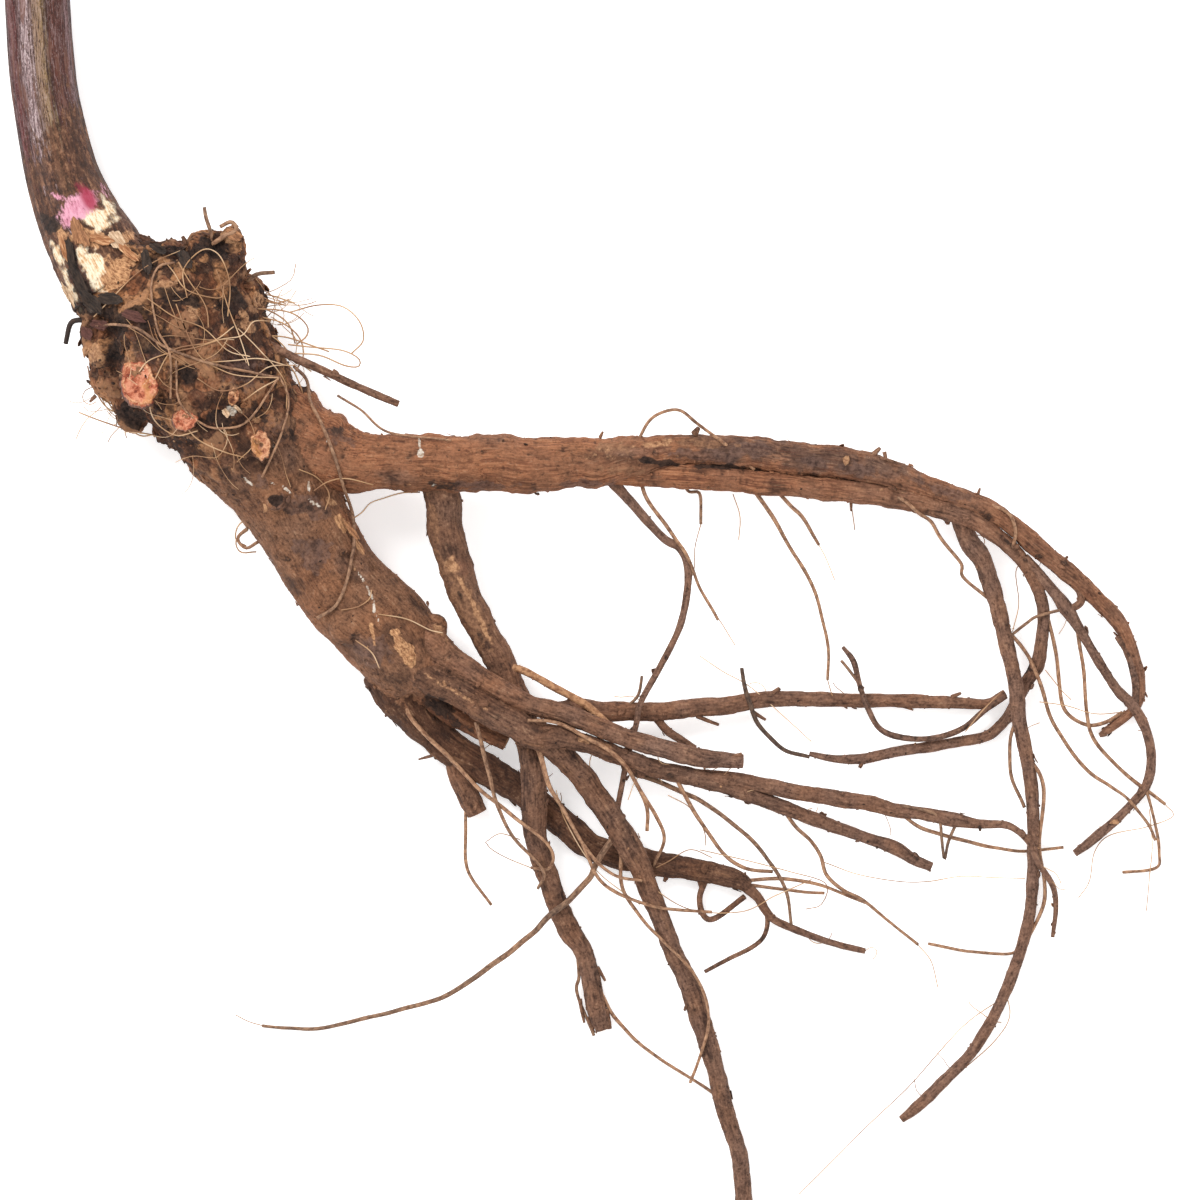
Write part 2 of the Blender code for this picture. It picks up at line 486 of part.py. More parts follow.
def main():
    for old in list(bpy.data.objects):
        bpy.data.objects.remove(old)
    scene = bpy.context.scene
    parts = bpy.data.collections.new("black_cohosh_root")
    cutters = bpy.data.collections.new("cutters")
    scratch = bpy.data.collections.new("pieces_to_fuse")
    for collection in (parts, cutters, scratch):
        scene.collection.children.link(collection)

    slab = floor_cutter(cutters)
    root = rootstock(parts, scratch)
    stem = tube("stem", STEM, STEM_LEVEL, 0.5, parts)
    past_end = tuple(np.array(STEM[-1]) + (np.array(STEM[-1]) - np.array(STEM[-2])) * 0.1)
    socket = tube("stem_socket", STEM + [past_end], STEM_LEVEL, 0.5, cutters, fatter=NODE_GAP / UNIT)
    as_cutter(socket)
    cut_by(root, socket)
    for obj in (root, stem):
        cut_by(obj, slab)
    bpy.data.collections.remove(scratch)

    root.data.materials.append(material("root_bark", (0.16, 0.085, 0.05), 0.85))
    stem.data.materials.append(material("stem_skin", (0.2, 0.12, 0.14), 0.5))
    for obj in (root, stem):
        obj.data.shade_smooth()
        obj.data.set_sharp_from_angle(angle=math.radians(50))


main()
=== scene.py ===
import math

import bpy
import numpy as np
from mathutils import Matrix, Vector


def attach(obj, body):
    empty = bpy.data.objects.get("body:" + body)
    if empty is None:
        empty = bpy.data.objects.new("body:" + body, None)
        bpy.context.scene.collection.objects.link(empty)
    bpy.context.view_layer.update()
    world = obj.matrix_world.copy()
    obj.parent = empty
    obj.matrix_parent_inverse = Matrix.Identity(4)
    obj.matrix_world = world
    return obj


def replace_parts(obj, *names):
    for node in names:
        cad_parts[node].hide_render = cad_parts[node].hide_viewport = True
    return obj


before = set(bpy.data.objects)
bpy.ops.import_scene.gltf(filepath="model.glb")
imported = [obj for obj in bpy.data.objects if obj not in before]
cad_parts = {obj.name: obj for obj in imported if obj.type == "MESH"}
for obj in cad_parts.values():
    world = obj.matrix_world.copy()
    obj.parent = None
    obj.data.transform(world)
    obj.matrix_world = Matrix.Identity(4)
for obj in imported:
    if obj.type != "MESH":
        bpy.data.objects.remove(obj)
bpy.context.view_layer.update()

PLAN_WIDTH = 0.240              # metres, the side of the square plan that the routes are drawn on
PLAN_SQUARES = 1200             # plan units along that side, one pixel of the photograph each
UNIT = PLAN_WIDTH / PLAN_SQUARES
MM = 0.001
PLAN_MIDDLE = (587.0, 600.0)    # the plan point that stands over the origin
VIEW_MIDDLE = (600.0, 600.0)    # the plan point in the middle of the photograph's view
CAMERA_HEIGHT = 3.0             # metres, long enough that the view hardly spreads
VIEW_PLANE = 0.010              # metres, the height where the view is exactly one plan wide

# Centrelines of the stem and the rhizome: (right, down, height, radius), in plan units.
STEM = [
    (36, -10, 33, 33), (41, 60, 36, 33), (47, 107, 41, 33), (61, 171, 50, 36), (78, 216, 58, 41),
    (97, 252, 66, 46), (110, 273, 71, 48),
]

RHIZOME = [
    (108, 266, 71, 44), (128, 285, 73, 56), (150, 300, 73, 69), (180, 325, 75, 81), (212, 381, 72, 75),
    (247, 434, 70, 66), (283, 485, 61, 54), (309, 534, 54, 47), (342, 587, 49, 46), (384, 629, 45, 48),
    (406, 660, 44, 42), (418, 686, 42, 28),
]

# Swellings of the rootstock: (right, down, height, radius).
KNOBS = [
    (112, 337, 74, 32), (120, 372, 66, 30), (133, 417, 60, 15), (138, 398, 62, 26), (92, 300, 72, 20),
    (150, 322, 118, 34), (205, 345, 124, 32), (240, 375, 112, 30), (176, 372, 112, 32), (232, 240, 112, 13),
    (246, 300, 84, 24), (262, 345, 74, 22), (300, 405, 66, 20), (231, 452, 92, 26), (170, 430, 70, 18),
    (268, 500, 84, 16), (347, 629, 78, 17), (434, 628, 52, 14), (316, 560, 78, 22), (278, 543, 46, 16),
    (396, 640, 74, 22), (330, 480, 60, 20), (110, 262, 96, 14),
]

# Old stem scars and stubs: from inside the rootstock to the face of the scar.
STUBS = {
    "dead_stem_stub": [(204, 300, 88, 36), (214, 266, 108, 33), (221, 246, 120, 27)],
    "wide_scar": [(164, 368, 88, 24), (148, 381, 118, 24), (142, 386, 132, 22)],
    "lower_scar": [(203, 408, 92, 16), (190, 418, 124, 15), (187, 421, 136, 13)],
    "ringed_scar": [(260, 444, 96, 16), (263, 446, 132, 15), (263, 446, 141, 13)],
    "upper_scar": [(232, 392, 104, 13), (237, 396, 142, 12), (237, 397, 150, 10)],
    "side_scar": [(130, 350, 84, 20), (104, 352, 96, 17), (96, 352, 100, 15)],
    "knot": [(282, 498, 90, 12), (277, 501, 114, 10), (276, 502, 119, 8)],
}

# The woody roots, each from inside the rootstock or another root to its tip.
WOODY_ROOTS = {
    "upper_root": [
        (262, 424, 66, 46), (310, 445, 74, 40), (345, 458, 78, 33), (380, 462, 80, 28),
        (500, 464, 78, 28.5), (560, 463, 75, 26), (620, 460, 72, 23), (682, 450, 68, 15.5),
        (744, 452, 62, 16.5), (805, 459, 58, 16.2), (866, 467, 53, 15.5), (917, 484, 50, 12.5),
        (990, 510, 46, 10), (1038, 548, 41, 10), (1082, 585, 34, 9), (1118, 621, 26, 8), (1137, 662, 16, 6),
        (1142, 682, 11, 5), (1139, 704, 8, 4.5), (1118, 724, 6, 4.5), (1105, 733, 6, 4),
    ],
    "lower_strand": [
        (590, 470, 68, 16), (620, 473, 67, 13), (682, 474.5, 66, 13.5), (744, 480, 62, 12.8),
        (805, 486.5, 57, 11.8), (868, 493, 52, 11.3), (917, 502, 49, 11.2), (956, 513, 47, 10.5),
        (985, 527, 45, 9), (1009, 546, 42, 8), (1026, 565, 39, 7), (1038, 587, 35, 6.5),
        (1044, 614, 30, 6.5), (1043, 638, 26, 6.5), (1038, 664, 21, 7.5), (1028, 682, 16, 6.5),
        (1012, 712, 10, 5.5), (999, 728, 8, 5.5), (985, 737, 8, 5.5), (956, 743, 9, 5.5), (893, 753, 12, 5),
        (861, 759, 13, 5.5), (836, 759, 14, 4), (810, 754, 15, 2.6),
    ],
    "dark_strand": [(1120, 636, 24, 5), (1130, 655, 19, 4.5), (1137, 682, 14, 4), (1137, 706, 9, 4)],
    "crossing_root": [
        (956, 508, 44, 9), (970, 541, 31, 10.5), (985, 565, 28, 9.5), (1003, 626, 33, 8),
        (1015, 682, 35, 7.5), (1020, 720, 32, 7.5), (1031, 776, 24, 7), (1034, 814, 20, 6.5),
        (1034, 882, 12, 6.2), (1029, 925, 9, 6), (1014, 974, 8, 6), (1004, 999, 9, 6), (984, 1036, 10, 5.7),
        (968, 1059, 8, 5.5), (921, 1106, 6, 6), (902, 1121, 5, 3.6),
    ],
    "outer_root": [
        (1024, 558, 40, 6), (1053, 590, 37, 5.5), (1067, 609, 33, 7), (1082, 633, 29, 5),
        (1116, 687, 19, 5), (1133, 704, 15, 5.5), (1145, 725, 12, 5), (1153, 754, 9, 5), (1149, 783, 7, 5),
        (1133, 805, 6, 4.5), (1094, 841, 6, 5), (1076, 854, 5, 3.6),
    ],
    "outer_twig": [(1046, 556, 40, 3.5), (1072, 577, 38, 4), (1082, 600, 35, 4), (1068, 611, 33, 4)],
    "middle_root": [
        (438, 474, 72, 18), (444, 507, 66, 17.5), (447, 534, 62, 18), (456, 567, 58, 17),
        (473, 612, 52, 15.3), (498, 658, 46, 15), (512, 690, 42, 14.5), (524, 725, 42, 13.5),
        (532, 757, 43, 12.6), (534, 815, 40, 12.9), (537, 843, 34, 10.8), (556, 901, 20, 10.9),
        (569, 930, 15, 11), (586, 958, 12, 9.3), (597, 1012, 10, 9.7), (603, 1031, 9, 7),
    ],
    "front_root": [
        (425, 642, 60, 20), (455, 662, 66, 13), (482, 678, 70, 11), (527, 703, 71, 9.5), (580, 719, 68, 10),
        (637, 741, 63, 9.5), (695, 757, 60, 9.5), (723, 760, 59, 8), (743, 761, 58, 7),
    ],
    "front_fork": [
        (400, 655, 58, 26), (426, 677, 62, 18), (455, 690, 66, 14), (483, 707, 70, 14.5),
        (512, 723, 72, 15), (535, 735, 71, 14), (556, 737, 68, 12), (589, 744, 62, 9.5), (647, 766, 53, 9),
        (704, 780, 46, 9), (733, 789, 42, 8), (771, 803, 36, 7.5), (833, 826, 27, 6.5), (868, 839, 23, 6),
        (895, 848, 20, 7), (914, 860, 18, 5.5), (932, 868, 17, 5),
    ],
    "fork_tip": [
        (690, 776, 48, 8), (743, 781, 44, 7.5), (800, 793, 40, 8), (857, 801, 36, 8), (893, 810, 32, 7),
        (922, 814, 30, 6.5), (953, 819, 30, 7.5), (975, 824, 30, 5), (1004, 825, 31, 4),
        (1019, 832, 31, 3.5), (1031, 844, 30, 3.5), (1039, 863, 25, 3.2), (1054, 887, 17, 3),
        (1057, 910, 11, 2.6), (1054, 938, 5, 2),
    ],
    "long_root": [
        (530, 730, 66, 14), (550, 745, 60, 13), (570, 764, 52, 12), (596, 796, 46, 12.2),
        (631, 850, 40, 12.5), (646, 881, 34, 10.5), (671, 947, 23, 9.6), (688, 981, 18, 10),
        (699, 1016, 15, 10.5), (718, 1077, 10, 9), (725, 1109, 9.5, 9), (736, 1142, 9, 8),
        (742, 1170, 9, 8.6), (744, 1212, 9, 8.7),
    ],
    "under_root": [
        (392, 670, 30, 30), (402, 696, 24, 26), (422, 722, 21, 19.5), (455, 751, 18, 17),
        (483, 767, 16.5, 15.5), (540, 806, 14, 13.5), (562, 824, 15, 14.5), (589, 845, 15, 14),
        (613, 855, 14, 13.5), (687, 868, 14, 11.5), (714, 873, 16, 11), (739, 881, 18, 9.5),
        (749, 887, 18, 7),
    ],
    "hidden_root": [(425, 685, 40, 17), (450, 712, 36, 12), (480, 728, 34, 11), (507, 741, 36, 10)],
    "broken_stub": [(452, 750, 18, 12), (460, 774, 15, 12), (469, 797, 13, 11.5), (477, 814, 12, 10.5)],
    "level_root": [
        (548, 713, 64, 9), (580, 708, 50, 9.5), (609, 711, 38, 9.5), (666, 711, 29, 9.3), (723, 706, 24, 9),
        (781, 699, 20, 8), (838, 700, 16, 7), (917, 702, 12, 7), (970, 704, 10, 5.5), (990, 703, 10, 5),
        (1006, 693, 12, 3.6),
    ],
    "level_twig": [(650, 710, 28, 4.5), (666, 730, 26, 4.2), (681, 740, 24, 4), (695, 749, 22, 3.5)],
    "hooked_root": [
        (1007, 696, 13, 3), (985, 711, 16, 3), (965, 728, 18, 3), (941, 737, 19, 3), (912, 739, 19, 3),
        (883, 731, 20, 3), (868, 708, 25, 2.8), (860, 684, 28, 2.6), (854, 662, 30, 3), (843, 647, 32, 2),
    ],
    "arched_root": [
        (606, 474, 66, 6.5), (627, 498, 62, 5), (662, 537, 58, 4.5), (680, 549, 57, 4), (688, 575, 56, 3.9),
        (682, 620, 54, 3.6), (662, 663, 50, 3.3), (641, 702, 47, 3), (636, 725, 45, 3), (626, 764, 38, 3),
        (618, 808, 32, 2.6),
    ],
    "twisted_root": [
        (742, 884, 18, 6), (758, 898, 16, 5), (767, 912, 13, 4.5), (779, 923, 11, 4), (815, 938, 8, 3.5),
        (841, 946, 6, 3.2), (866, 952, 5, 3),
    ],
    "twisted_loop": [
        (708, 876, 12, 3.4), (700, 898, 8, 3), (704, 917, 6, 3), (716, 919, 8, 3), (745, 897, 15, 3),
    ],
    "twisted_tail": [
        (763, 903, 12, 2.6), (768, 921, 9, 2.5), (764, 938, 7, 2.4), (751, 949, 6, 2.3), (729, 960, 5, 2.2),
        (705, 973, 4, 2),
    ],
    "tan_root": [
        (506, 667, 50, 3.5), (524, 671, 54, 3.8), (570, 696, 57, 4), (589, 707, 60, 4), (607, 724, 64, 4),
    ],
    "crown_root": [
        (256, 338, 96, 5), (270, 346, 94, 4.5), (308, 364, 92, 4.2), (367, 391, 86, 4), (399, 404, 82, 3.6),
    ],
    "fork_knob": [(632, 762, 52, 6), (639, 771, 44, 7), (644, 776, 40, 4)],
}

# Rootlets that stand free of the bark: (right, down, height, radius) from base to tip.
ROOTLETS = {
    "left_rootlet": [
        (618, 832, 44, 3.2), (596, 864, 38, 3.2), (587, 882, 37, 3.2), (550, 916, 35, 3.2),
        (531, 935, 31, 3), (492, 966, 20, 3), (449, 995, 11, 2.6), (424, 1004, 8, 2.4), (384, 1015, 6, 2.3),
        (322, 1029, 4, 2), (291, 1030, 3, 1.8), (261, 1027, 3, 1.6),
    ],
    "inner_a": [
        (1044, 604, 32, 2), (1056, 650, 24, 2), (1060, 682, 18, 2), (1067, 711, 12, 2), (1087, 725, 9, 2),
        (1106, 723, 8, 2), (1124, 713, 8, 2),
    ],
    "inner_b": [
        (1077, 626, 30, 2), (1085, 674, 22, 2), (1088, 711, 16, 2), (1094, 737, 12, 2), (1111, 759, 9, 2),
        (1142, 786, 7, 2), (1167, 805, 5, 1.8),
    ],
    "inner_c": [
        (1006, 628, 34, 2), (1028, 655, 31, 2), (1039, 677, 29, 2), (1055, 725, 18, 2), (1087, 769, 10, 2),
        (1111, 786, 10, 1.8), (1130, 800, 13, 1.6), (1149, 824, 8, 1.6), (1157, 841, 5, 1.6),
    ],
    "inner_d": [
        (1147, 788, 8, 1.6), (1157, 824, 6, 1.6), (1161, 853, 4, 1.6), (1158, 869, 3, 1.6),
        (1124, 873, 3, 1.6),
    ],
    "inner_e": [(1006, 640, 34, 1.6), (1026, 624, 38, 1.6), (1038, 616, 40, 1.6), (1068, 608, 34, 1.6)],
    "side_a": [(1018, 716, 32, 1.9), (1011, 740, 29, 1.9), (1012, 775, 24, 1.9), (1025, 808, 20, 1.9)],
    "side_b": [
        (1030, 758, 27, 2), (1041, 776, 26, 2), (1045, 800, 23, 2), (1040, 846, 18, 2), (1046, 882, 13, 2),
        (1043, 910, 10, 2), (1026, 943, 7, 1.8), (1010, 955, 5, 1.6), (970, 952, 3, 1.6),
        (929, 945, 3, 1.6),
    ],
    "arch_side": [
        (640, 480, 62, 2), (648, 500, 65, 2), (674, 537, 65, 2), (685, 552, 64, 1.8), (693, 570, 60, 1.7),
        (701, 590, 55, 1.6), (718, 620, 46, 1.6),
    ],
    "gap_long": [
        (750, 486, 58, 2.2), (772, 516, 53, 2.2), (791, 549, 48, 2), (811, 582, 42, 2), (823, 620, 36, 1.8),
        (829, 653, 30, 1.7), (828, 680, 26, 1.6),
    ],
    "gap_short": [(774, 488, 56, 2), (791, 506, 53, 2), (803, 518, 51, 2), (819, 545, 46, 1.7)],
    "strand_side": [
        (888, 494, 56, 1.8), (905, 502, 62, 1.8), (919, 514, 59, 1.8), (931, 522, 51, 1.8),
        (941, 539, 46, 1.8), (961, 563, 38, 1.8), (963, 577, 35, 1.8), (988, 598, 31, 1.8),
    ],
    "strand_top": [(992, 505, 53, 1.8), (1009, 514, 55, 1.8), (1015, 530, 54, 1.8), (1013, 546, 48, 1.8)],
    "top_loop": [
        (638, 441, 76, 1.7), (648, 422, 79, 1.7), (662, 413, 82, 1.7), (680, 411, 84, 1.7),
        (697, 424, 84, 1.7), (723, 443, 78, 1.7), (754, 470, 66, 1.7),
    ],
    "drop_stub": [(680, 474, 64, 1.7), (688, 491, 58, 1.7), (700, 494, 56, 1.7), (701, 524, 50, 1.6)],
    "pale_side": [
        (396, 690, 36, 2.6), (405, 703, 43, 2.4), (415, 723, 44, 2.3), (459, 767, 42, 2.2),
        (482, 792, 46, 2), (509, 813, 51, 2), (541, 838, 56, 1.7), (553, 855, 50, 1.6), (548, 869, 44, 1.6),
        (531, 868, 38, 1.6),
    ],
    "fork_side": [
        (476, 722, 66, 2.2), (487, 767, 54, 2.2), (497, 803, 52, 2), (512, 836, 52, 1.8),
        (543, 870, 44, 1.6), (538, 889, 34, 1.6),
    ],
    "cross_a": [
        (538, 748, 66, 2.8), (548, 782, 62, 2.5), (560, 803, 59, 2.2), (585, 847, 54, 1.8),
        (612, 874, 52, 1.6), (642, 881, 45, 1.6),
    ],
    "cross_b": [
        (583, 844, 54, 1.8), (598, 878, 48, 1.8), (617, 893, 43, 1.8), (642, 903, 43, 1.6),
        (671, 910, 38, 1.6), (712, 912, 28, 1.6),
    ],
    "cross_c": [
        (621, 850, 40, 2), (623, 888, 34, 2), (645, 923, 31, 1.7), (664, 942, 34, 1.6), (688, 966, 34, 1.6),
        (703, 992, 27, 1.6), (709, 1020, 28, 1.6), (703, 1049, 23, 1.6), (690, 1084, 13, 1.6),
    ],
    "fork_top": [
        (528, 720, 86, 1.7), (556, 722, 81, 1.8), (587, 738, 74, 2.2), (608, 749, 70, 2.2),
        (623, 763, 66, 2.2), (637, 785, 58, 2), (656, 816, 50, 2), (664, 840, 42, 1.8), (654, 866, 24, 1.7),
    ],
    "fork_top_b": [(636, 783, 58, 2), (647, 808, 50, 2), (647, 831, 44, 1.8)],
    "under_fork_a": [
        (672, 770, 53, 2.2), (687, 799, 46, 2.2), (718, 847, 32, 2), (743, 868, 24, 2), (773, 872, 17, 1.8),
    ],
    "under_fork_b": [
        (642, 776, 40, 2.6), (685, 793, 38, 2.5), (704, 803, 36, 2.3), (746, 835, 32, 2.2),
        (773, 866, 24, 2), (787, 895, 17, 1.8), (792, 926, 12, 1.6),
    ],
    "under_fork_c": [
        (781, 806, 35, 2), (796, 827, 30, 2), (811, 841, 28, 2), (821, 856, 25, 2), (827, 875, 21, 2),
        (844, 891, 18, 2), (865, 902, 15, 1.8), (890, 922, 11, 1.6), (919, 946, 7, 1.6),
    ],
    "under_tip_a": [(742, 882, 18, 2), (781, 879, 17, 2), (819, 885, 14, 1.8), (867, 904, 11, 1.6)],
    "under_tip_b": [(750, 886, 15, 1.8), (798, 892, 10, 1.6), (825, 894, 8, 1.6)],
    "tip_side": [
        (900, 813, 30, 2), (924, 829, 28, 2), (965, 841, 20, 2), (994, 848, 12, 1.8), (1024, 852, 5, 1.6),
        (1065, 848, 5, 1.6),
    ],
    "tip_hook": [
        (903, 806, 37, 1.7), (927, 811, 37, 1.7), (939, 819, 34, 1.6), (942, 840, 28, 1.6),
        (945, 860, 22, 1.6), (949, 842, 26, 1.6), (957, 823, 29, 1.6),
    ],
    "level_cross": [
        (742, 668, 36, 2), (745, 686, 34, 2.3), (750, 703, 32, 2.5), (760, 726, 26, 2.3),
        (783, 749, 20, 2.2), (810, 757, 16, 2),
    ],
    "level_spur": [(628, 706, 38, 1.6), (638, 695, 42, 1.6), (642, 676, 44, 1.6)],
    "hook_spur": [(858, 682, 28, 1.7), (841, 661, 29, 1.6)],
    "stub_rootlet": [
        (466, 806, 14, 1.9), (465, 834, 10, 1.8), (466, 863, 7, 1.8), (472, 880, 5, 1.6),
        (491, 906, 4, 1.6),
    ],
    "middle_side": [(577, 948, 15, 1.8), (579, 977, 10, 1.8), (577, 994, 8, 1.8), (594, 1037, 6, 1.6)],
    "middle_tip": [
        (600, 992, 12, 2), (616, 1020, 8, 2), (647, 1051, 5, 1.8), (690, 1079, 3, 1.6), (714, 1095, 3, 1.6),
    ],
    "crown_spur": [(240, 290, 96, 2.6), (250, 282, 100, 2.5), (258, 276, 102, 2.4), (276, 274, 102, 2)],
    "knob_spur": [(206, 209, 122, 1.8), (208, 220, 122, 2), (213, 236, 120, 2), (212, 250, 116, 2)],
    "knob_loop": [
        (214, 246, 120, 2.4), (226, 238, 124, 2.5), (238, 232, 124, 2.4), (233, 224, 122, 2.2),
        (222, 229, 122, 2),
    ],
    "black_hook": [(90, 322, 80, 3), (79, 321, 78, 2.8), (71, 325, 76, 2.8), (66, 344, 72, 2.4)],
    "left_tuft": [
        (198, 448, 84, 1.7), (216, 466, 76, 1.7), (226, 490, 66, 1.7), (236, 510, 58, 1.7),
        (249, 528, 54, 1.7),
    ],
    "left_ring": [(250, 526, 52, 1.7), (238, 538, 48, 1.7), (246, 548, 46, 1.7), (258, 542, 46, 1.7)],
}

# Rootlets that lie on the rootstock's bark: (right, down, radius), the height comes from the bark.
BARK_ROOTLETS = {
    "bark_a": [
        (98, 327, 2), (117, 326, 2), (140, 330, 1.9), (167, 348, 1.8), (203, 362, 1.7), (244, 372, 1.6),
        (280, 379, 1.6),
    ],
    "bark_b": [
        (177, 265, 1.6), (161, 269, 1.6), (154, 290, 1.6), (161, 331, 1.6), (173, 356, 1.6),
        (173, 400, 1.6),
    ],
    "bark_c": [
        (280, 379, 1.6), (251, 421, 1.6), (228, 429, 1.6), (205, 425, 1.6), (182, 402, 1.6),
        (179, 362, 1.6),
    ],
    "bark_d": [
        (295, 367, 2.4), (307, 381, 2.4), (312, 404, 2.4), (324, 427, 2.3), (335, 456, 2.2), (345, 489, 2),
        (354, 520, 2), (353, 555, 1.8), (340, 601, 1.7), (318, 618, 1.6),
    ],
    "bark_e": [(338, 396, 1.7), (361, 410, 1.7), (390, 433, 1.7), (452, 441, 1.6)],
    "bark_f": [(280, 377, 1.6), (290, 400, 1.6), (284, 432, 1.6), (264, 478, 1.6)],
}
BARK_LIFT = 1.2                 # plan units from the bark to a rootlet's centreline

# Hairs over the crown and beside the rhizome, (right, down, height).
CROWN_HAIRS = [
    [(248, 296, 70), (268, 295, 60), (295, 303, 55)],
    [(228, 300, 118), (254, 309, 104), (281, 311, 92), (297, 316, 88), (308, 327, 84), (307, 337, 82),
     (297, 345, 82)],
    [(289, 345, 90), (316, 348, 92), (343, 351, 92), (359, 359, 90), (359, 367, 88), (345, 366, 88),
     (321, 356, 88), (295, 354, 88)],
    [(290, 313, 86), (318, 306, 92), (343, 307, 96), (360, 322, 94), (364, 341, 90), (352, 354, 86)],
    [(262, 318, 96), (284, 324, 92), (300, 338, 84), (304, 356, 80), (296, 372, 78)],
    [(256, 306, 96), (276, 314, 88), (290, 326, 84), (296, 344, 80)],
    [(266, 352, 88), (290, 366, 86), (300, 384, 82), (306, 404, 78)],
    [(270, 336, 88), (288, 338, 86), (312, 346, 86), (330, 352, 84)],
    [(262, 330, 90), (280, 342, 88), (296, 360, 82), (312, 372, 80)],
    [(262, 300, 92), (276, 304, 88), (290, 300, 84)],
    [(254, 290, 96), (268, 300, 90), (286, 306, 84)],
    [(260, 344, 90), (272, 362, 84), (282, 378, 80), (288, 396, 78)],
    [(96, 384, 66), (100, 398, 58), (110, 410, 54), (120, 411, 56)],
    [(92, 376, 60), (98, 392, 52), (108, 402, 50), (116, 414, 50)],
    [(88, 366, 60), (92, 384, 54), (104, 400, 50), (118, 406, 52)],
    [(130, 430, 44), (142, 436, 40), (158, 434, 44), (170, 440, 48)],
    [(190, 452, 60), (206, 460, 52), (222, 478, 46), (238, 500, 42)],
    [(248, 530, 48), (236, 540, 40), (240, 552, 36), (256, 552, 40)],
    [(78, 412, 20), (104, 422, 26), (138, 432, 34), (176, 438, 44)],
    [(244, 520, 50), (237, 528, 46), (236, 540, 42), (246, 546, 40)],
    [(352, 519, 50), (362, 512, 50), (370, 503, 51), (384, 498, 52), (402, 493, 54), (420, 492, 55)],
]

# Thinner hairs among the roots, (right, down, height).
ROOT_HAIRS = [
    [(825, 863, 22), (859, 875, 18), (900, 882, 16), (929, 882, 16), (961, 877, 16), (994, 878, 18),
     (1026, 879, 20)],
    [(531, 868, 38), (508, 859, 30), (492, 850, 26), (485, 842, 24)],
    [(735, 645, 38), (722, 624, 44), (708, 604, 50)],
    [(828, 680, 26), (832, 694, 22), (837, 705, 20)],
    [(819, 545, 46), (826, 558, 42), (835, 580, 38)],
    [(261, 1027, 3), (248, 1023, 3), (234, 1016, 4)],
    [(919, 946, 7), (932, 962, 5), (939, 989, 4)],
    [(1004, 985, 10), (1011, 1016, 10), (998, 1040, 8), (972, 1064, 8), (940, 1090, 8), (917, 1110, 7)],
    [(1002, 1000, 8), (968, 1024, 6), (938, 1056, 5), (908, 1090, 4), (872, 1124, 4), (838, 1158, 4),
     (800, 1196, 4)],
    [(1167, 805, 5), (1175, 817, 5), (1147, 828, 5), (1111, 836, 6), (1096, 853, 5), (1091, 882, 4),
     (1080, 899, 4)],
    [(1151, 810, 6), (1154, 846, 5), (1151, 880, 4), (1148, 912, 4)],
    [(700, 656, 30), (724, 672, 30), (752, 688, 28), (788, 720, 24), (812, 742, 20)],
    [(640, 879, 44), (688, 909, 30), (742, 912, 26), (776, 896, 24), (812, 880, 22)],
    [(700, 850, 36), (744, 860, 30), (790, 872, 24), (826, 884, 18), (822, 905, 12), (806, 910, 8)],
    [(1040, 702, 30), (1068, 706, 26), (1096, 714, 22), (1126, 712, 14)],
    [(1046, 670, 26), (1062, 690, 22), (1072, 700, 20)],
    [(668, 795, 50), (690, 808, 42), (704, 830, 36), (706, 846, 32)],
    [(556, 790, 50), (566, 822, 40), (596, 870, 34), (640, 905, 30)],
    [(486, 842, 24), (500, 834, 26), (520, 840, 30)],
    [(1013, 632, 34), (1019, 604, 36), (1016, 572, 40), (1024, 560, 42)],
    [(1004, 690, 26), (984, 710, 24), (966, 732, 22)],
    [(656, 868, 26), (668, 862, 26), (690, 850, 28), (712, 858, 26)],
    [(604, 738, 60), (590, 760, 52), (596, 786, 46), (612, 802, 42)],
    [(662, 782, 48), (650, 770, 48), (636, 780, 44), (628, 800, 40)],
    [(701, 524, 50), (695, 548, 46), (694, 570, 44), (686, 590, 46)],
    [(733, 494, 50), (740, 516, 44), (739, 540, 40)],
    [(852, 508, 44), (855, 530, 38)],
]

# Routes of hairs that lie on the bark, (right, down).
BARK_HAIRS = [
    [(96, 318), (117, 297), (136, 278), (156, 264), (182, 252)],
    [(181, 264), (192, 283), (205, 302), (210, 314), (211, 329)],
    [(179, 306), (186, 325), (196, 348), (207, 362), (223, 371), (242, 377), (280, 379)],
    [(223, 287), (232, 314), (242, 339), (251, 367)],
    [(142, 373), (152, 362), (175, 354), (203, 348), (224, 341), (244, 337), (255, 323), (272, 322)],
    [(315, 491), (329, 482), (347, 479), (374, 485)],
    [(372, 590), (370, 599), (358, 607), (342, 610)],
    [(379, 614), (407, 619), (430, 630), (443, 633)],
    [(166, 262), (176, 274), (190, 292), (222, 300), (226, 288)],
    [(158, 380), (176, 352), (214, 344), (236, 328)],
    [(212, 364), (236, 362), (262, 360), (286, 366)],
    [(246, 402), (262, 390), (280, 380)],
    [(186, 424), (200, 440), (224, 452), (246, 458)],
    [(300, 470), (318, 478), (330, 494), (326, 510)],
    [(356, 640), (372, 652), (380, 668)],
    [(190, 300), (186, 272), (205, 252), (222, 258), (232, 285), (230, 318)],
    [(150, 300), (176, 318), (206, 330), (230, 352), (252, 358)],
    [(150, 392), (156, 420), (178, 436), (200, 432)],
    [(240, 330), (262, 352), (286, 382), (288, 410)],
    [(200, 380), (222, 392), (248, 386), (270, 368), (296, 366)],
]

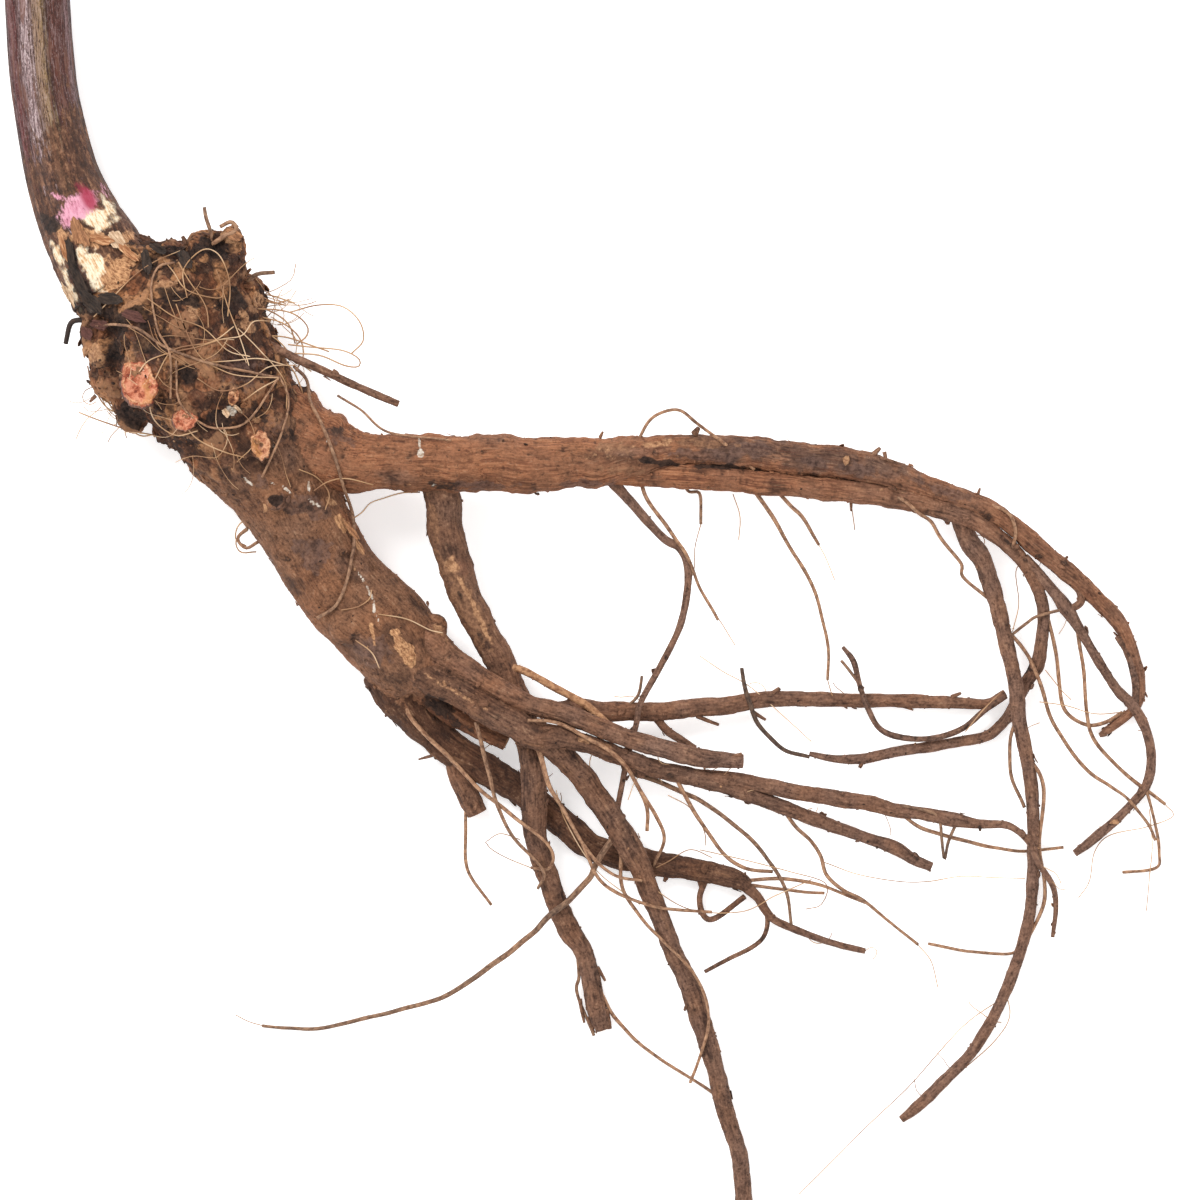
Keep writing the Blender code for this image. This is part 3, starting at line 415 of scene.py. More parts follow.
# Coloured places seen from above: (right, down, half length, half width, turn in degrees, strength).
PATCHES = {
    "pink": [
        (80, 208, 24, 13, -30, 1.0), (70, 222, 10, 9, 60, 0.8), (106, 192, 15, 5, 60, 0.3),
        (60, 198, 9, 4, 20, 0.7),
    ],
    "crimson": [(90, 200, 17, 8, 62, 1.0), (82, 190, 11, 6, 50, 0.6)],
    "cream": [
        (100, 220, 16, 11, 20, 1.1), (92, 264, 23, 12, 66, 1.15), (60, 258, 18, 5, 66, 0.9),
        (73, 290, 22, 4, 66, 0.8), (110, 206, 14, 5, 50, 0.8), (100, 288, 12, 6, 40, 0.7),
    ],
    "peel": [
        (118, 274, 25, 17, -38, 1.0), (88, 240, 24, 12, 10, 0.9), (124, 240, 15, 10, 30, 0.9),
        (66, 240, 7, 18, -30, 0.7), (150, 262, 12, 7, 40, 0.6), (92, 300, 14, 6, 20, 0.6),
        (342, 523, 13, 5, 52, 1.1), (352, 534, 10, 3, 50, 1.0), (360, 546, 8, 3, 60, 0.9),
        (404, 650, 19, 8, 58, 1.3), (373, 632, 13, 2.5, 80, 0.9),
    ],
    "gloom": [
        (74, 260, 26, 6, 74, 1.0), (84, 288, 24, 8, 62, 1.0), (98, 308, 26, 10, 8, 1.0),
        (150, 268, 12, 10, 40, 0.95), (133, 318, 24, 10, -20, 0.9), (52, 224, 13, 10, 60, 0.85),
        (117, 352, 10, 12, 30, 0.85), (192, 376, 13, 9, 20, 0.85), (132, 417, 18, 13, 20, 1.0),
        (219, 250, 14, 9, 0, 1.0), (204, 248, 18, 7, -35, 0.95), (180, 252, 14, 6, 10, 0.95),
        (178, 300, 20, 12, 20, 0.7), (150, 348, 18, 9, 20, 0.6), (228, 314, 14, 22, 0, 0.55),
        (262, 420, 8, 20, -20, 0.6), (290, 436, 14, 8, 10, 0.55), (222, 420, 16, 10, 20, 0.75),
        (277, 500, 9, 8, 0, 1.0), (302, 506, 34, 6, 10, 0.5), (240, 300, 16, 8, 50, 0.7),
        (290, 512, 20, 4, 6, 0.45), (356, 636, 6, 11, 40, 0.6), (441, 707, 20, 10, 32, 0.8),
        (456, 722, 30, 7, 36, 0.6), (338, 432, 14, 9, 20, 0.5), (444, 486, 18, 6, 0, 0.6),
        (470, 452, 22, 7, 8, 0.35), (160, 330, 22, 8, 30, 0.6), (204, 330, 14, 8, 60, 0.5),
        (1026, 668, 8, 6, 50, 0.7), (462, 600, 3, 12, -22, 0.5), (480, 636, 3, 10, -22, 0.5),
        # The thin gloom places from (655, 462) to (1010, 545) run along the upper root's groove and its
        # junctions: painted shade in the crevice.
        (655, 462, 26, 4, 6, 0.9), (720, 467, 40, 3, 3, 0.8), (800, 474, 50, 2.5, 5, 0.4),
        (880, 486, 40, 2.5, 12, 0.4), (980, 512, 22, 5, 32, 0.5), (1010, 545, 30, 2.5, 45, 0.5),
        (215, 250, 17, 10, 10, 1.0), (150, 268, 12, 12, 50, 1.0), (190, 300, 16, 8, 30, 0.8),
        (246, 352, 10, 14, -20, 0.6), (120, 330, 14, 8, 0, 0.7),
    ],
    "plum": [
        (314, 554, 22, 17, 30, 0.9), (338, 436, 18, 10, 20, 0.7), (300, 505, 40, 12, 10, 0.8),
        (262, 482, 14, 8, 40, 0.6), (240, 372, 30, 22, 30, 0.6), (376, 648, 22, 16, 40, 0.7),
        (700, 456, 32, 7, 4, 0.9), (752, 450, 24, 9, 0, 0.8), (815, 462, 20, 7, 10, 0.8),
        (858, 470, 24, 8, 6, 0.9), (940, 490, 40, 8, 18, 0.7), (590, 485, 34, 6, 0, 0.8),
        (480, 486, 36, 6, 0, 0.7), (280, 430, 22, 14, 50, 0.5), (150, 350, 40, 24, 30, 0.5),
    ],
    "ash": [
        (800, 456, 120, 15, 8, 1.0), (366, 648, 20, 14, 40, 0.8), (350, 566, 20, 14, 30, 0.5),
        (240, 470, 20, 14, 50, 0.4), (400, 480, 26, 8, 8, 0.4), (280, 456, 24, 14, 40, 0.4),
        (640, 452, 40, 6, -4, 0.6),
    ],
    # These places are painted shade, in the upper root's groove and in hollows between the roots and beside
    # the dead stem's stub.
    "painted_shade": [
        (780, 452, 130, 13, 6, 0.55), (640, 462, 60, 5, 8, 0.7), (460, 482, 60, 7, -2, 0.5),
        (205, 250, 26, 10, -10, 0.9), (330, 690, 40, 12, 52, 0.6),
    ],
    "tan": [
        (604, 456, 26, 8, 4, 0.35), (655, 444, 22, 4, -6, 0.6), (331, 502, 9, 4, 40, 0.8),
        (466, 590, 2.5, 22, -30, 0.9), (480, 620, 2.5, 24, -26, 0.9), (452, 566, 10, 6, 30, 0.8),
        (454, 690, 34, 3, 30, 0.5), (590, 742, 22, 3, 14, 0.6), (440, 632, 10, 7, 30, 0.6),
        (246, 318, 10, 5, 60, 0.8), (195, 312, 6, 16, -20, 0.6), (172, 288, 20, 8, 20, 0.6),
        (146, 346, 9, 8, 0, 0.6), (232, 240, 13, 9, 40, 0.9), (250, 328, 10, 9, 30, 0.7),
        (262, 300, 6, 14, -30, 0.5), (880, 489, 30, 3, 8, 0.4), (97, 354, 12, 11, 60, 1.0),
    ],
    "warm": [
        (760, 484, 70, 9, 4, 1.0), (217, 264, 17, 8, 10, 1.0), (236, 262, 8, 14, 10, 0.7),
        (217, 436, 9, 7, 30, 1.0), (166, 438, 12, 6, 20, 0.8), (342, 660, 22, 12, 52, 0.6),
        (234, 346, 28, 14, 50, 0.5), (352, 526, 24, 5, 50, 0.6), (462, 668, 14, 7, 26, 0.7),
        (430, 712, 30, 5, 46, 0.6), (490, 738, 20, 8, 14, 0.8), (462, 568, 12, 8, 20, 0.8),
        (336, 470, 14, 8, 40, 0.5), (108, 372, 12, 10, 40, 0.8), (90, 334, 8, 6, 40, 0.9),
        (192, 344, 16, 8, 10, 0.6), (206, 396, 10, 6, 0, 0.8),
    ],
    "brown": [
        (434, 522, 30, 4, 80, 0.85), (440, 562, 18, 5, 70, 0.8), (468, 610, 48, 13, 66, 0.95),
        (452, 574, 14, 9, 60, 0.9), (610, 448, 26, 6, 4, 0.6), (700, 443, 40, 5, 2, 0.6),
        (620, 470, 30, 6, 6, 0.5),
    ],
    "chalk": [
        (371, 594, 11, 1.5, 66, 0.9), (361, 576, 8, 1.2, 60, 0.9), (375, 608, 7, 1.3, 80, 0.9),
        (378, 618, 6, 1.2, 60, 0.7), (289, 491, 7, 1.6, 40, 0.9), (275, 484, 5, 1.4, 20, 0.8),
        (421, 454, 3.6, 5, 0, 1.1), (420, 443, 1.8, 6, 0, 1.0), (250, 482, 8, 1.6, 40, 0.7),
        (316, 504, 8, 1.6, 30, 0.9), (310, 486, 1.6, 8, 0, 0.9), (233, 412, 6, 6, 0, 0.9),
        (276, 448, 3, 9, 10, 0.4), (328, 440, 1.2, 7, 0, 0.6), (434, 486, 4, 2, -30, 0.5),
    ],
}

# Places pressed into the bark, which also take painted shade: (right, down, radius, depth in mm).
DENTS = [
    (219, 250, 11, 1.5), (277, 501, 7, 1.1), (438, 706, 16, 2.6), (356, 640, 5, 0.6), (182, 252, 10, 1.0),
    (236, 399, 5, 0.8), (152, 262, 8, 0.7), (120, 330, 9, 0.8), (206, 300, 9, 0.7), (262, 470, 8, 0.5),
]

# Faces of old stem scars: (right, down, half length, half width, turn in degrees, tilt, pinkness).
SCARS = [
    (142, 385, 25, 20, 80, 0.25, 1.0), (187, 421, 13, 12, 0, 0.2, 0.9), (263, 446, 16, 11, 80, -0.1, 0.35),
    (236, 398, 10, 6, 100, 0.0, 0.15),
]

# Papery scales and loose bark at the stem's foot: (right, down, half length, half width, turn, curl, tone).
PEELS = [
    (79, 232, 14, 6, 78, 1.5, "tan"), (86, 240, 10, 4, 62, 1.0, "tan"), (119, 242, 11, 7, 50, 1.6, "cream"),
    (104, 241, 12, 5, 12, 1.0, "peel"), (130, 254, 12, 4, 42, 1.2, "peel"),
    (66, 250, 13, 3.5, 74, 1.0, "peel"), (73, 258, 20, 4, 80, 1.2, "gloom"),
    (82, 284, 19, 5, 66, 1.0, "gloom"), (94, 304, 14, 8, 46, 0.8, "gloom"),
    (112, 300, 12, 6, 10, 0.8, "gloom"), (149, 264, 14, 5, 78, 1.2, "gloom"),
    (160, 250, 10, 4, 30, 1.8, "gloom"), (70, 296, 13, 3, 60, 1.0, "cream"),
    (188, 262, 10, 6, 60, 1.4, "gloom"), (236, 236, 9, 5, 30, 1.2, "tan"), (88, 334, 8, 5, 50, 1.0, "plum"),
    (102, 326, 9, 5, 10, 1.0, "plum"), (228, 414, 5, 3, 60, 1.0, "cream"),
    (240, 410, 6, 2, 40, 1.0, "cream"), (352, 530, 12, 3, 54, 0.4, "tan"),
    (136, 318, 12, 5, 20, 1.0, "plum"),
]

# Small broken twigs on the roots: (right, down, height) at the root and at the tip, then the radius.
SPURS = [
    ((597, 968, 12), (605, 982, 9), 2.2), ((697, 716, 28), (719, 725, 24), 2.4),
    ((752, 711, 24), (766, 720, 20), 2.4), ((716, 868, 24), (718, 880, 14), 2.0),
    ((851, 500, 52), (851, 511, 48), 1.8), ((872, 456, 60), (880, 448, 62), 3.2),
    ((880, 458, 62), (898, 463, 60), 1.8), ((884, 452, 62), (886, 460, 62), 2.2),
    ((600, 438, 76), (603, 432, 78), 1.8), ((694, 434, 74), (698, 428, 78), 3.6),
    ((978, 494, 50), (980, 488, 50), 1.6), ((1062, 562, 40), (1068, 556, 40), 2.0),
    ((1110, 606, 30), (1118, 608, 28), 3.2), ((1124, 622, 24), (1128, 624, 24), 2.2),
    ((774, 694, 24), (780, 688, 24), 3.2), ((952, 697, 14), (962, 693, 14), 2.4),
    ((886, 702, 20), (914, 710, 12), 1.6), ((1107, 733, 6), (1101, 736, 6), 4.0),
    ((680, 746, 22), (693, 756, 18), 1.8), ((866, 756, 14), (860, 768, 12), 3.0),
    ((726, 760, 62), (742, 754, 62), 3.2), ((606, 1010, 10), (610, 1030, 8), 4.0),
    ((580, 1000, 10), (584, 1024, 7), 2.2), ((588, 1018, 8), (594, 1034, 6), 2.2),
    ((700, 878, 14), (702, 890, 10), 3.6), ((668, 874, 14), (664, 882, 12), 3.0),
    ((388, 690, 20), (372, 692, 18), 2.0), ((432, 756, 14), (418, 760, 12), 1.6),
    ((246, 276, 98), (252, 270, 102), 2.0), ((188, 246, 112), (184, 238, 114), 3.0),
    ((176, 258, 104), (170, 250, 106), 2.6), ((96, 396, 56), (90, 402, 54), 2.0),
    ((470, 716, 44), (480, 722, 42), 3.0), ((444, 700, 44), (456, 708, 42), 3.6),
    ((424, 694, 46), (430, 706, 42), 2.8),
]

# The floor of the furrow between the upper root's two strands, darkened with painted shade: (right, down,
# height, radius).
GROOVE_FLOOR = [
    (640, 461, 60, 6), (690, 463, 58, 6), (744, 467, 56, 6.5), (805, 472, 51, 6), (868, 480, 47, 5.5),
    (917, 493, 43, 5), (940, 503, 40, 4),
]

# Tone of each woody root from its start to its tip: warm at the start, warm at the tip, ash at both.
TONES = {
    "rhizome": (0.12, 0.16, 0.1, 0.1), "upper_root": (0.85, 0.5, 0.0, 0.45),
    "lower_strand": (1.3, -0.8, 0.0, 1.1), "dark_strand": (0.1, 0.0, 0.7, 0.9),
    "crossing_root": (0.0, 0.0, 0.8, 0.7), "outer_root": (0.0, 0.0, 0.9, 0.9),
    "middle_root": (0.12, 0.1, 0.5, 0.6), "front_root": (0.25, 0.1, 0.35, 0.8),
    "front_fork": (0.2, 0.05, 0.4, 0.85), "long_root": (0.1, 0.0, 0.5, 0.75),
    "under_root": (0.4, 0.0, 0.1, 0.5), "hidden_root": (1.0, 0.9, 0.0, 0.0),
    "broken_stub": (0.15, 0.1, 0.4, 0.5), "level_root": (0.25, 0.15, 0.5, 0.6),
    "level_twig": (0.1, 0.1, 0.5, 0.6), "fork_tip": (0.2, 0.1, 0.6, 0.7),
    "arched_root": (0.0, 0.0, 0.9, 0.9), "tan_root": (0.6, 0.6, 0.0, 0.0),
    "hooked_root": (0.0, 0.0, 1.0, 1.0),
}
PLAIN_TONE = (0.1, 0.1, 0.6, 0.6)

# Painted shade: how dark the roots in the shade of others, and the upper root's groove floor, are at their
# start and tip, from 0 to 1.
PAINTED_SHADE = {
    "under_root": (1.0, 0.6), "hidden_root": (0.8, 0.5), "broken_stub": (0.3, 0.0),
    "twisted_root": (0.3, 0.1), "middle_root": (0.35, 0.1), "front_fork": (0.45, 0.0),
    "long_root": (0.25, 0.15), "rhizome": (0.1, 0.0), "groove_floor": (0.8, 0.4),
}
PLAIN_PAINTED_SHADE = (0.0, 0.0)

# Roots that are tan or dark all along, and roots whose broken end is pale.
TAN_ROOTS = ("tan_root",)
DARK_ROOTS = ("hooked_root", "twisted_loop", "twisted_tail", "fork_knob", "dark_strand")
CUT_ROOTS = (
    "front_root", "front_fork", "crossing_root", "middle_root", "long_root", "broken_stub", "crown_root",
    "hidden_root",
)

# How tan each rootlet is, from 0 for dark bark to 1. The others are as tan as PLAIN_TAN.
TAN = {
    "left_rootlet": 0.3, "inner_e": 0.4, "level_cross": -0.3, "black_hook": -1.0, "crown_spur": 0.4,
    "knob_spur": 0.3, "level_spur": 0.3, "tip_hook": 0.2, "under_fork_b": 0.35, "middle_side": 0.4,
    "drop_stub": 0.45, "bark_d": 0.45, "bark_a": 0.5, "hook_spur": 0.4, "fork_side": 0.45, "side_a": 0.5,
    "strand_top": 0.7, "under_fork_c": 0.6,
}
PLAIN_TAN = 0.68

# What each point of a skin carries for its material: its share in each coloured place, some of them painted
# shade, then how high it stands in the relief, which sets painted shade in hollows and a painted highlight
# on crests, how much soil it holds, and where it lies across the stem.
MASKS = (
    "warm", "ash", "painted_shade", "brown", "plum", "gloom", "tan", "peel", "cream", "pink", "crimson", "chalk",
    "high", "crust", "cross",
)


def srgb(red, green, blue):
    """A screen colour, 0 to 255, as the renderer's linear colour."""
    shares = (red / 255, green / 255, blue / 255)
    return tuple(c / 12.92 if c <= 10 / 255 else ((c + 0.055) / 1.055) ** 2.4 for c in shares)


# Noise and blends on arrays of points

DIRECTIONS = np.random.default_rng(7).normal(size=(256, 3))
DIRECTIONS /= np.linalg.norm(DIRECTIONS, axis=1)[:, None]


def grain(points, seed=0):
    """Gradient noise, about -1 to 1, at points of shape (n, 3)."""
    cell = np.floor(points).astype(np.int64)
    inside = points - cell
    fade = inside ** 3 * (inside * (inside * 6 - 15) + 10)
    total = np.zeros(len(points))
    for corner in np.ndindex(2, 2, 2):
        at = cell + corner
        key = at[:, 0] * 73856093 ^ at[:, 1] * 19349663 ^ at[:, 2] * 83492791 ^ (seed + 1) * 374761393
        key = (key ^ (key >> 13)) * 1274126177
        slope = DIRECTIONS[(key ^ (key >> 16)) & 255]
        weight = np.prod(np.where(corner, fade, 1 - fade), axis=1)
        total += weight * ((inside - corner) * slope).sum(axis=1)
    return total * 1.6


def layered(points, octaves, seed=0):
    """Several octaves of noise, each half as strong and twice as fine."""
    return sum(grain(points * 2 ** k, seed + 11 * k) / 2 ** k for k in range(octaves))


def soft_step(low, high, value):
    """0 at low, 1 at high, smooth in between."""
    share = np.clip((value - low) / (high - low), 0, 1)
    return share * share * (3 - 2 * share)


# Routes

def place(plan):
    """World positions, in metres, of rows of (right, down, height)."""
    plan = np.asarray(plan, float)
    return np.column_stack([(plan[:, 0] - PLAN_MIDDLE[0]) * UNIT, (PLAN_MIDDLE[1] - plan[:, 1]) * UNIT,
                            plan[:, 2] * UNIT])


def plan_of(places):
    """The plan points, right and down, under world positions."""
    return np.column_stack([places[:, 0] / UNIT + PLAN_MIDDLE[0], PLAN_MIDDLE[1] - places[:, 1] / UNIT])


def lengths_along(places):
    """The length of the way from the first place to each place."""
    return np.concatenate([[0], np.cumsum(np.linalg.norm(np.diff(places, axis=0), axis=1))])


def smooth_run(route, step):
    """The route as evenly spaced points of a Catmull-Rom spline through its own points."""
    points = np.array(route, float)
    ends = np.vstack([2 * points[0] - points[1], points, 2 * points[-1] - points[-2]])
    dense = []
    for before, start, stop, after in zip(ends, ends[1:], ends[2:], ends[3:]):
        for t in np.arange(10) / 10:
            dense.append(0.5 * (2 * start + (stop - before) * t
                                + (2 * before - 5 * start + 4 * stop - after) * t ** 2
                                + (3 * start - before - 3 * stop + after) * t ** 3))
    dense = np.array(dense + [points[-1]])
    length = lengths_along(dense[:, :3])
    at = np.linspace(0, length[-1], max(3, int(length[-1] / step) + 1))
    return np.column_stack([np.interp(at, length, column) for column in dense.T])


def frames_along(centres):
    """Tangent, side and up directions that turn as little as they can along the centreline."""
    tangent = np.gradient(centres, axis=0)
    tangent /= np.linalg.norm(tangent, axis=1)[:, None]
    side = np.empty_like(tangent)
    start = np.cross(tangent[0], (0, 0, 1))
    side[0] = start / np.linalg.norm(start)
    for k in range(1, len(tangent)):
        turned = side[k - 1] - tangent[k] * (side[k - 1] @ tangent[k])
        side[k] = turned / np.linalg.norm(turned)
    return tangent, side, np.cross(tangent, side)


class TopView:
    """How high the made skins stand over each plan point, in plan units."""

    CELL = 2.0      # plan units
    MARGIN = 10     # cells beyond each side of the plan

    def __init__(self):
        self.cells = int(PLAN_SQUARES / self.CELL) + 2 * self.MARGIN
        self.height = np.zeros((self.cells, self.cells))

    def index(self, plan):
        at = (plan / self.CELL + self.MARGIN).astype(int)
        return np.clip(at, 0, self.cells - 1)

    def add(self, places):
        at = self.index(plan_of(places))
        np.maximum.at(self.height, (at[:, 0], at[:, 1]), places[:, 2] / UNIT)

    def at(self, plan, reach=1):
        """The highest skin within reach cells of each plan point."""
        middle = self.index(np.asarray(plan, float))
        best = np.zeros(len(middle))
        for right in range(-reach, reach + 1):
            for down in range(-reach, reach + 1):
                near = np.clip(middle + (right, down), 0, self.cells - 1)
                best = np.maximum(best, self.height[near[:, 0], near[:, 1]])
        return best


TOP = TopView()
DRAPE_STEP = 4.0        # plan units between the points of a route laid on the skins
BARE_FLOOR = 5          # a plan point lower than this has no skin over it


def draped(route, lift):
    """A route (right, down) laid on the made skins, as rows of (right, down, height)."""
    run = smooth_run(route, DRAPE_STEP)
    high = TOP.at(run[:, :2])
    on = high > BARE_FLOOR
    if on.any():
        high = np.interp(np.arange(len(high)), np.flatnonzero(on), high[on])
    padded = np.pad(high, 3, mode="edge")
    high = np.maximum(high, np.convolve(padded, np.ones(7) / 7, mode="valid"))
    return np.column_stack([run[:, :2], high + lift])


# Relief of the bark, in mm

def root_relief(local, radius):
    """Furrows, lumps and cracks of a woody root. local is (along, side, up) in mm, radius is in mm."""
    along = local[:, 0]
    ring = local[:, 1:]
    furrow = np.abs(grain(np.column_stack([along / 9, ring / 0.9]), 3))
    fine = np.abs(grain(np.column_stack([along / 3.5, ring / 0.42]), 5))
    lump = layered(np.column_stack([along / 5, ring / 3.2]), 3, 9)
    crumb = grain(np.column_stack([along / 0.7, ring / 0.7]), 17)
    crack = soft_step(0.35, 0.6, grain(np.column_stack([along / 0.9, ring / 3]), 13))
    rise = 0.26 * (furrow - 0.25) + 0.13 * (fine - 0.25) + 0.12 * lump + 0.06 * crumb - 0.08 * crack
    return np.minimum(1, radius / 2.2) * rise


def crown_relief(place_mm, rough):
    """Knobs, pits and crumbs of the rhizome, finer and flatter where rough is small."""
    big = layered(place_mm / 5.5, 2, 21)
    pits = np.abs(grain(place_mm / 2.1, 23))
    crumb = layered(place_mm / 0.9, 2, 27)
    knobbly = 0.8 * big + 0.5 * (pits - 0.3) + 0.26 * crumb
    smooth = 0.24 * big + 0.09 * crumb
    return rough * knobbly + (1 - rough) * smooth


# Masks of colour

SOFT_MASKS = ("pink", "crimson")       # these fade out, the others have broken edges


def raise_mask(masks, name, value):
    """Lifts a mask to a value wherever it is lower."""
    masks[name] = np.maximum(masks[name], value)


def patch_masks(places, upward):
    """The coloured places of PATCHES at world positions, only on skin that faces up."""
    plan = plan_of(places)
    mm = places / MM
    ragged = 0.5 * layered(mm / 2.4, 3, 31)
    masks = {name: np.zeros(len(places)) for name in MASKS}
    shown = soft_step(-0.25, 0.1, upward)
    for mask, spots in PATCHES.items():
        for right, down, half_length, half_width, turn, strength in spots:
            turn = math.radians(turn)
            off = plan - (right, down)
            along = (off[:, 0] * math.cos(turn) + off[:, 1] * math.sin(turn)) / half_length
            across = (off[:, 1] * math.cos(turn) - off[:, 0] * math.sin(turn)) / half_width
            far = np.hypot(along, across)
            if mask in SOFT_MASKS:
                inside = soft_step(1.4, 0.0, far - 0.2 * ragged)
            else:
                inside = soft_step(-0.25, 0.65, 1.1 - far + ragged * (0.35 if mask == "chalk" else 1))
            raise_mask(masks, mask, inside * strength * shown)
    return masks


# Meshes

CEILING = 32.0 * MM     # nothing stands above the highest knob


class Skin:
    """Vertices, quads and masks that gather into one mesh."""

    def __init__(self):
        self.points, self.faces, self.masks, self.local, self.count = [], [], [], [], 0

    def add(self, points, faces, masks, local):
        points[:, 2] = np.minimum(points[:, 2], CEILING)
        self.points.append(points)
        if isinstance(faces, np.ndarray):
            faces = faces.tolist()
        self.faces += [[corner + self.count for corner in face] for face in faces]
        self.masks.append(np.column_stack([masks.get(name, np.zeros(len(points))) for name in MASKS]))
        self.local.append(local)
        self.count += len(points)

    def piece(self, name, material):
        mesh = bpy.data.meshes.new(name)
        mesh.from_pydata(np.vstack(self.points), [], self.faces)
        write_masks(mesh, np.vstack(self.masks), np.vstack(self.local))
        return finished(name, mesh, material)


def write_masks(mesh, masks, local):
    for column, name in enumerate(MASKS):
        values = np.ascontiguousarray(masks[:, column], np.float32)
        mesh.attributes.new(name, "FLOAT", "POINT").data.foreach_set("value", values)
    flat = np.ascontiguousarray(local, np.float32).ravel()
    mesh.attributes.new("fibre", "FLOAT_VECTOR", "POINT").data.foreach_set("vector", flat)


def finished(name, mesh, material):
    obj = bpy.data.objects.new(name, mesh)
    bpy.context.scene.collection.objects.link(obj)
    mesh.shade_smooth()
    mesh.materials.append(material)
    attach(obj, "root")
    return obj


def tube_faces(rings, sides):
    """Quads of a tube whose ring k holds vertices k * sides onwards."""
    ring, side = np.meshgrid(np.arange(rings - 1), np.arange(sides), indexing="ij")
    after = (side + 1) % sides
    here, there = ring * sides, (ring + 1) * sides
    return np.stack([here + side, here + after, there + after, there + side], axis=-1).reshape(-1, 4)


CAP = ((0.0, 0.10), (0.45, 0.09), (0.8, 0.06), (0.95, 0.02))    # size and bulge of the rings on a cut end
NOISE_GAP = 17.0        # mm, moves the noise on so that each root has its own furrows


class Tube:
    """A closed tube along a route, its arrays one row a vertex."""

    def __init__(self, route, step, sides, relief=None, wobble=0.0, seed=0):
        run = smooth_run(route, step)
        centres = place(run)
        radius = run[:, 3] * UNIT
        tangent, side, up = frames_along(centres)
        length = lengths_along(centres)
        if wobble:
            bend = np.column_stack([length / MM / 7, np.full(len(run), seed * 3.7), np.zeros(len(run))])
            centres = centres + side * (wobble * radius * grain(bend, 1))[:, None]
            swelling = 0.07 * grain(bend * (1.7, 1, 1), 2) + 0.05 * grain(bend * (4.1, 1, 1), 4)
            radius = radius * (1 + swelling)
        ends = len(CAP)
        order = np.concatenate([np.zeros(ends, int), np.arange(len(run)), np.full(ends, len(run) - 1)])
        size = np.array([ring[0] for ring in CAP])
        bulge = np.array([ring[1] for ring in CAP])
        swell = np.concatenate([size, np.ones(len(run)), size[::-1]])
        slide = np.concatenate([-bulge, np.zeros(len(run)), bulge[::-1]])
        angle = np.arange(sides) * 2 * math.pi / sides
        out = side[order][:, None] * np.cos(angle)[:, None] + up[order][:, None] * np.sin(angle)[:, None]
        reach = radius[order] * swell
        local = np.empty((len(order), sides, 3))
        local[:, :, 0] = (length[order] / MM)[:, None]
        local[:, :, 1] = np.cos(angle) * (reach / MM)[:, None]
        local[:, :, 2] = np.sin(angle) * (reach / MM)[:, None] + seed * NOISE_GAP
        self.local = local.reshape(-1, 3)
        self.rise = np.zeros(len(self.local))
        if relief is not None:
            self.rise = relief(self.local, np.repeat(radius[order] / MM, sides)) * np.repeat(swell, sides)
        core = centres[order] + tangent[order] * (slide * radius[order])[:, None]
        skin = out * (reach[:, None] + self.rise.reshape(-1, sides) * MM)[:, :, None]
        self.points = (core[:, None] + skin).reshape(-1, 3)
        self.points[:, 2] = np.maximum(self.points[:, 2], 0.0)
        self.faces = tube_faces(len(order), sides)
        self.share = np.repeat(length[order] / length[-1], sides)
        self.normals = out.reshape(-1, 3)
        rings = np.arange(len(order))
        self.tip = np.repeat(rings >= len(order) - ends, sides)
        self.base = np.repeat(rings < ends, sides)


def tone_masks(name, share, points, normals, rise):
    """The masks of a woody root: its own tone, the coloured places, how high the skin stands and how much
    painted shade it takes.
    """
    masks = patch_masks(points, normals[:, 2])
    warm_start, warm_tip, ash_start, ash_tip = TONES.get(name, PLAIN_TONE)
    warm = np.clip(warm_start + (warm_tip - warm_start) * share, 0, 1)
    ash = np.clip(ash_start + (ash_tip - ash_start) * share, 0, 1)
    drift = 0.35 * layered(points / MM / 5, 2, 41)
    raise_mask(masks, "warm", np.clip(warm * (1 + drift), 0, 1))
    raise_mask(masks, "ash", np.clip(ash * (1 + drift), 0, 1))
    masks["high"] = 0.5 + rise * 2.2
    # Painted shade where the root lies under others.
    painted_shade_start, painted_shade_tip = PAINTED_SHADE.get(name, PLAIN_PAINTED_SHADE)
    painted_shade = painted_shade_start + (painted_shade_tip - painted_shade_start) * share
    raise_mask(masks, "painted_shade", np.clip(painted_shade * (1 + 0.5 * drift), 0, 1))
    if name in TAN_ROOTS:
        raise_mask(masks, "tan", 0.75)
    if name in DARK_ROOTS:
        raise_mask(masks, "gloom", 0.42)
    return masks


ROOT_QUAD = 0.29 * MM               # width of a quad round a root
ROOT_STEP, ROOT_WOBBLE = 2.2, 0.14  # plan units between rings, and how far the centreline strays in radii
FEWEST_SIDES, MOST_SIDES = 16, 112
FINE_WOBBLE = 0.5                   # how far a rootlet or a hair strays


def add_root(skin, name, route, seed):
    """One woody root, finely furrowed, with its broken end pale."""
    widest = max(point[3] for point in route)
    sides = int(np.clip(2 * math.pi * widest * UNIT / ROOT_QUAD, FEWEST_SIDES, MOST_SIDES))
    tube = Tube(route, ROOT_STEP, sides, root_relief, ROOT_WOBBLE, seed)
    masks = tone_masks(name, tube.share, tube.points, tube.normals, tube.rise)
    if name in CUT_ROOTS:
        raise_mask(masks, "tan", tube.tip * 0.9)
    skin.add(tube.points, tube.faces, masks, tube.local)
    TOP.add(tube.points)
    tube.masks = masks
    return tube


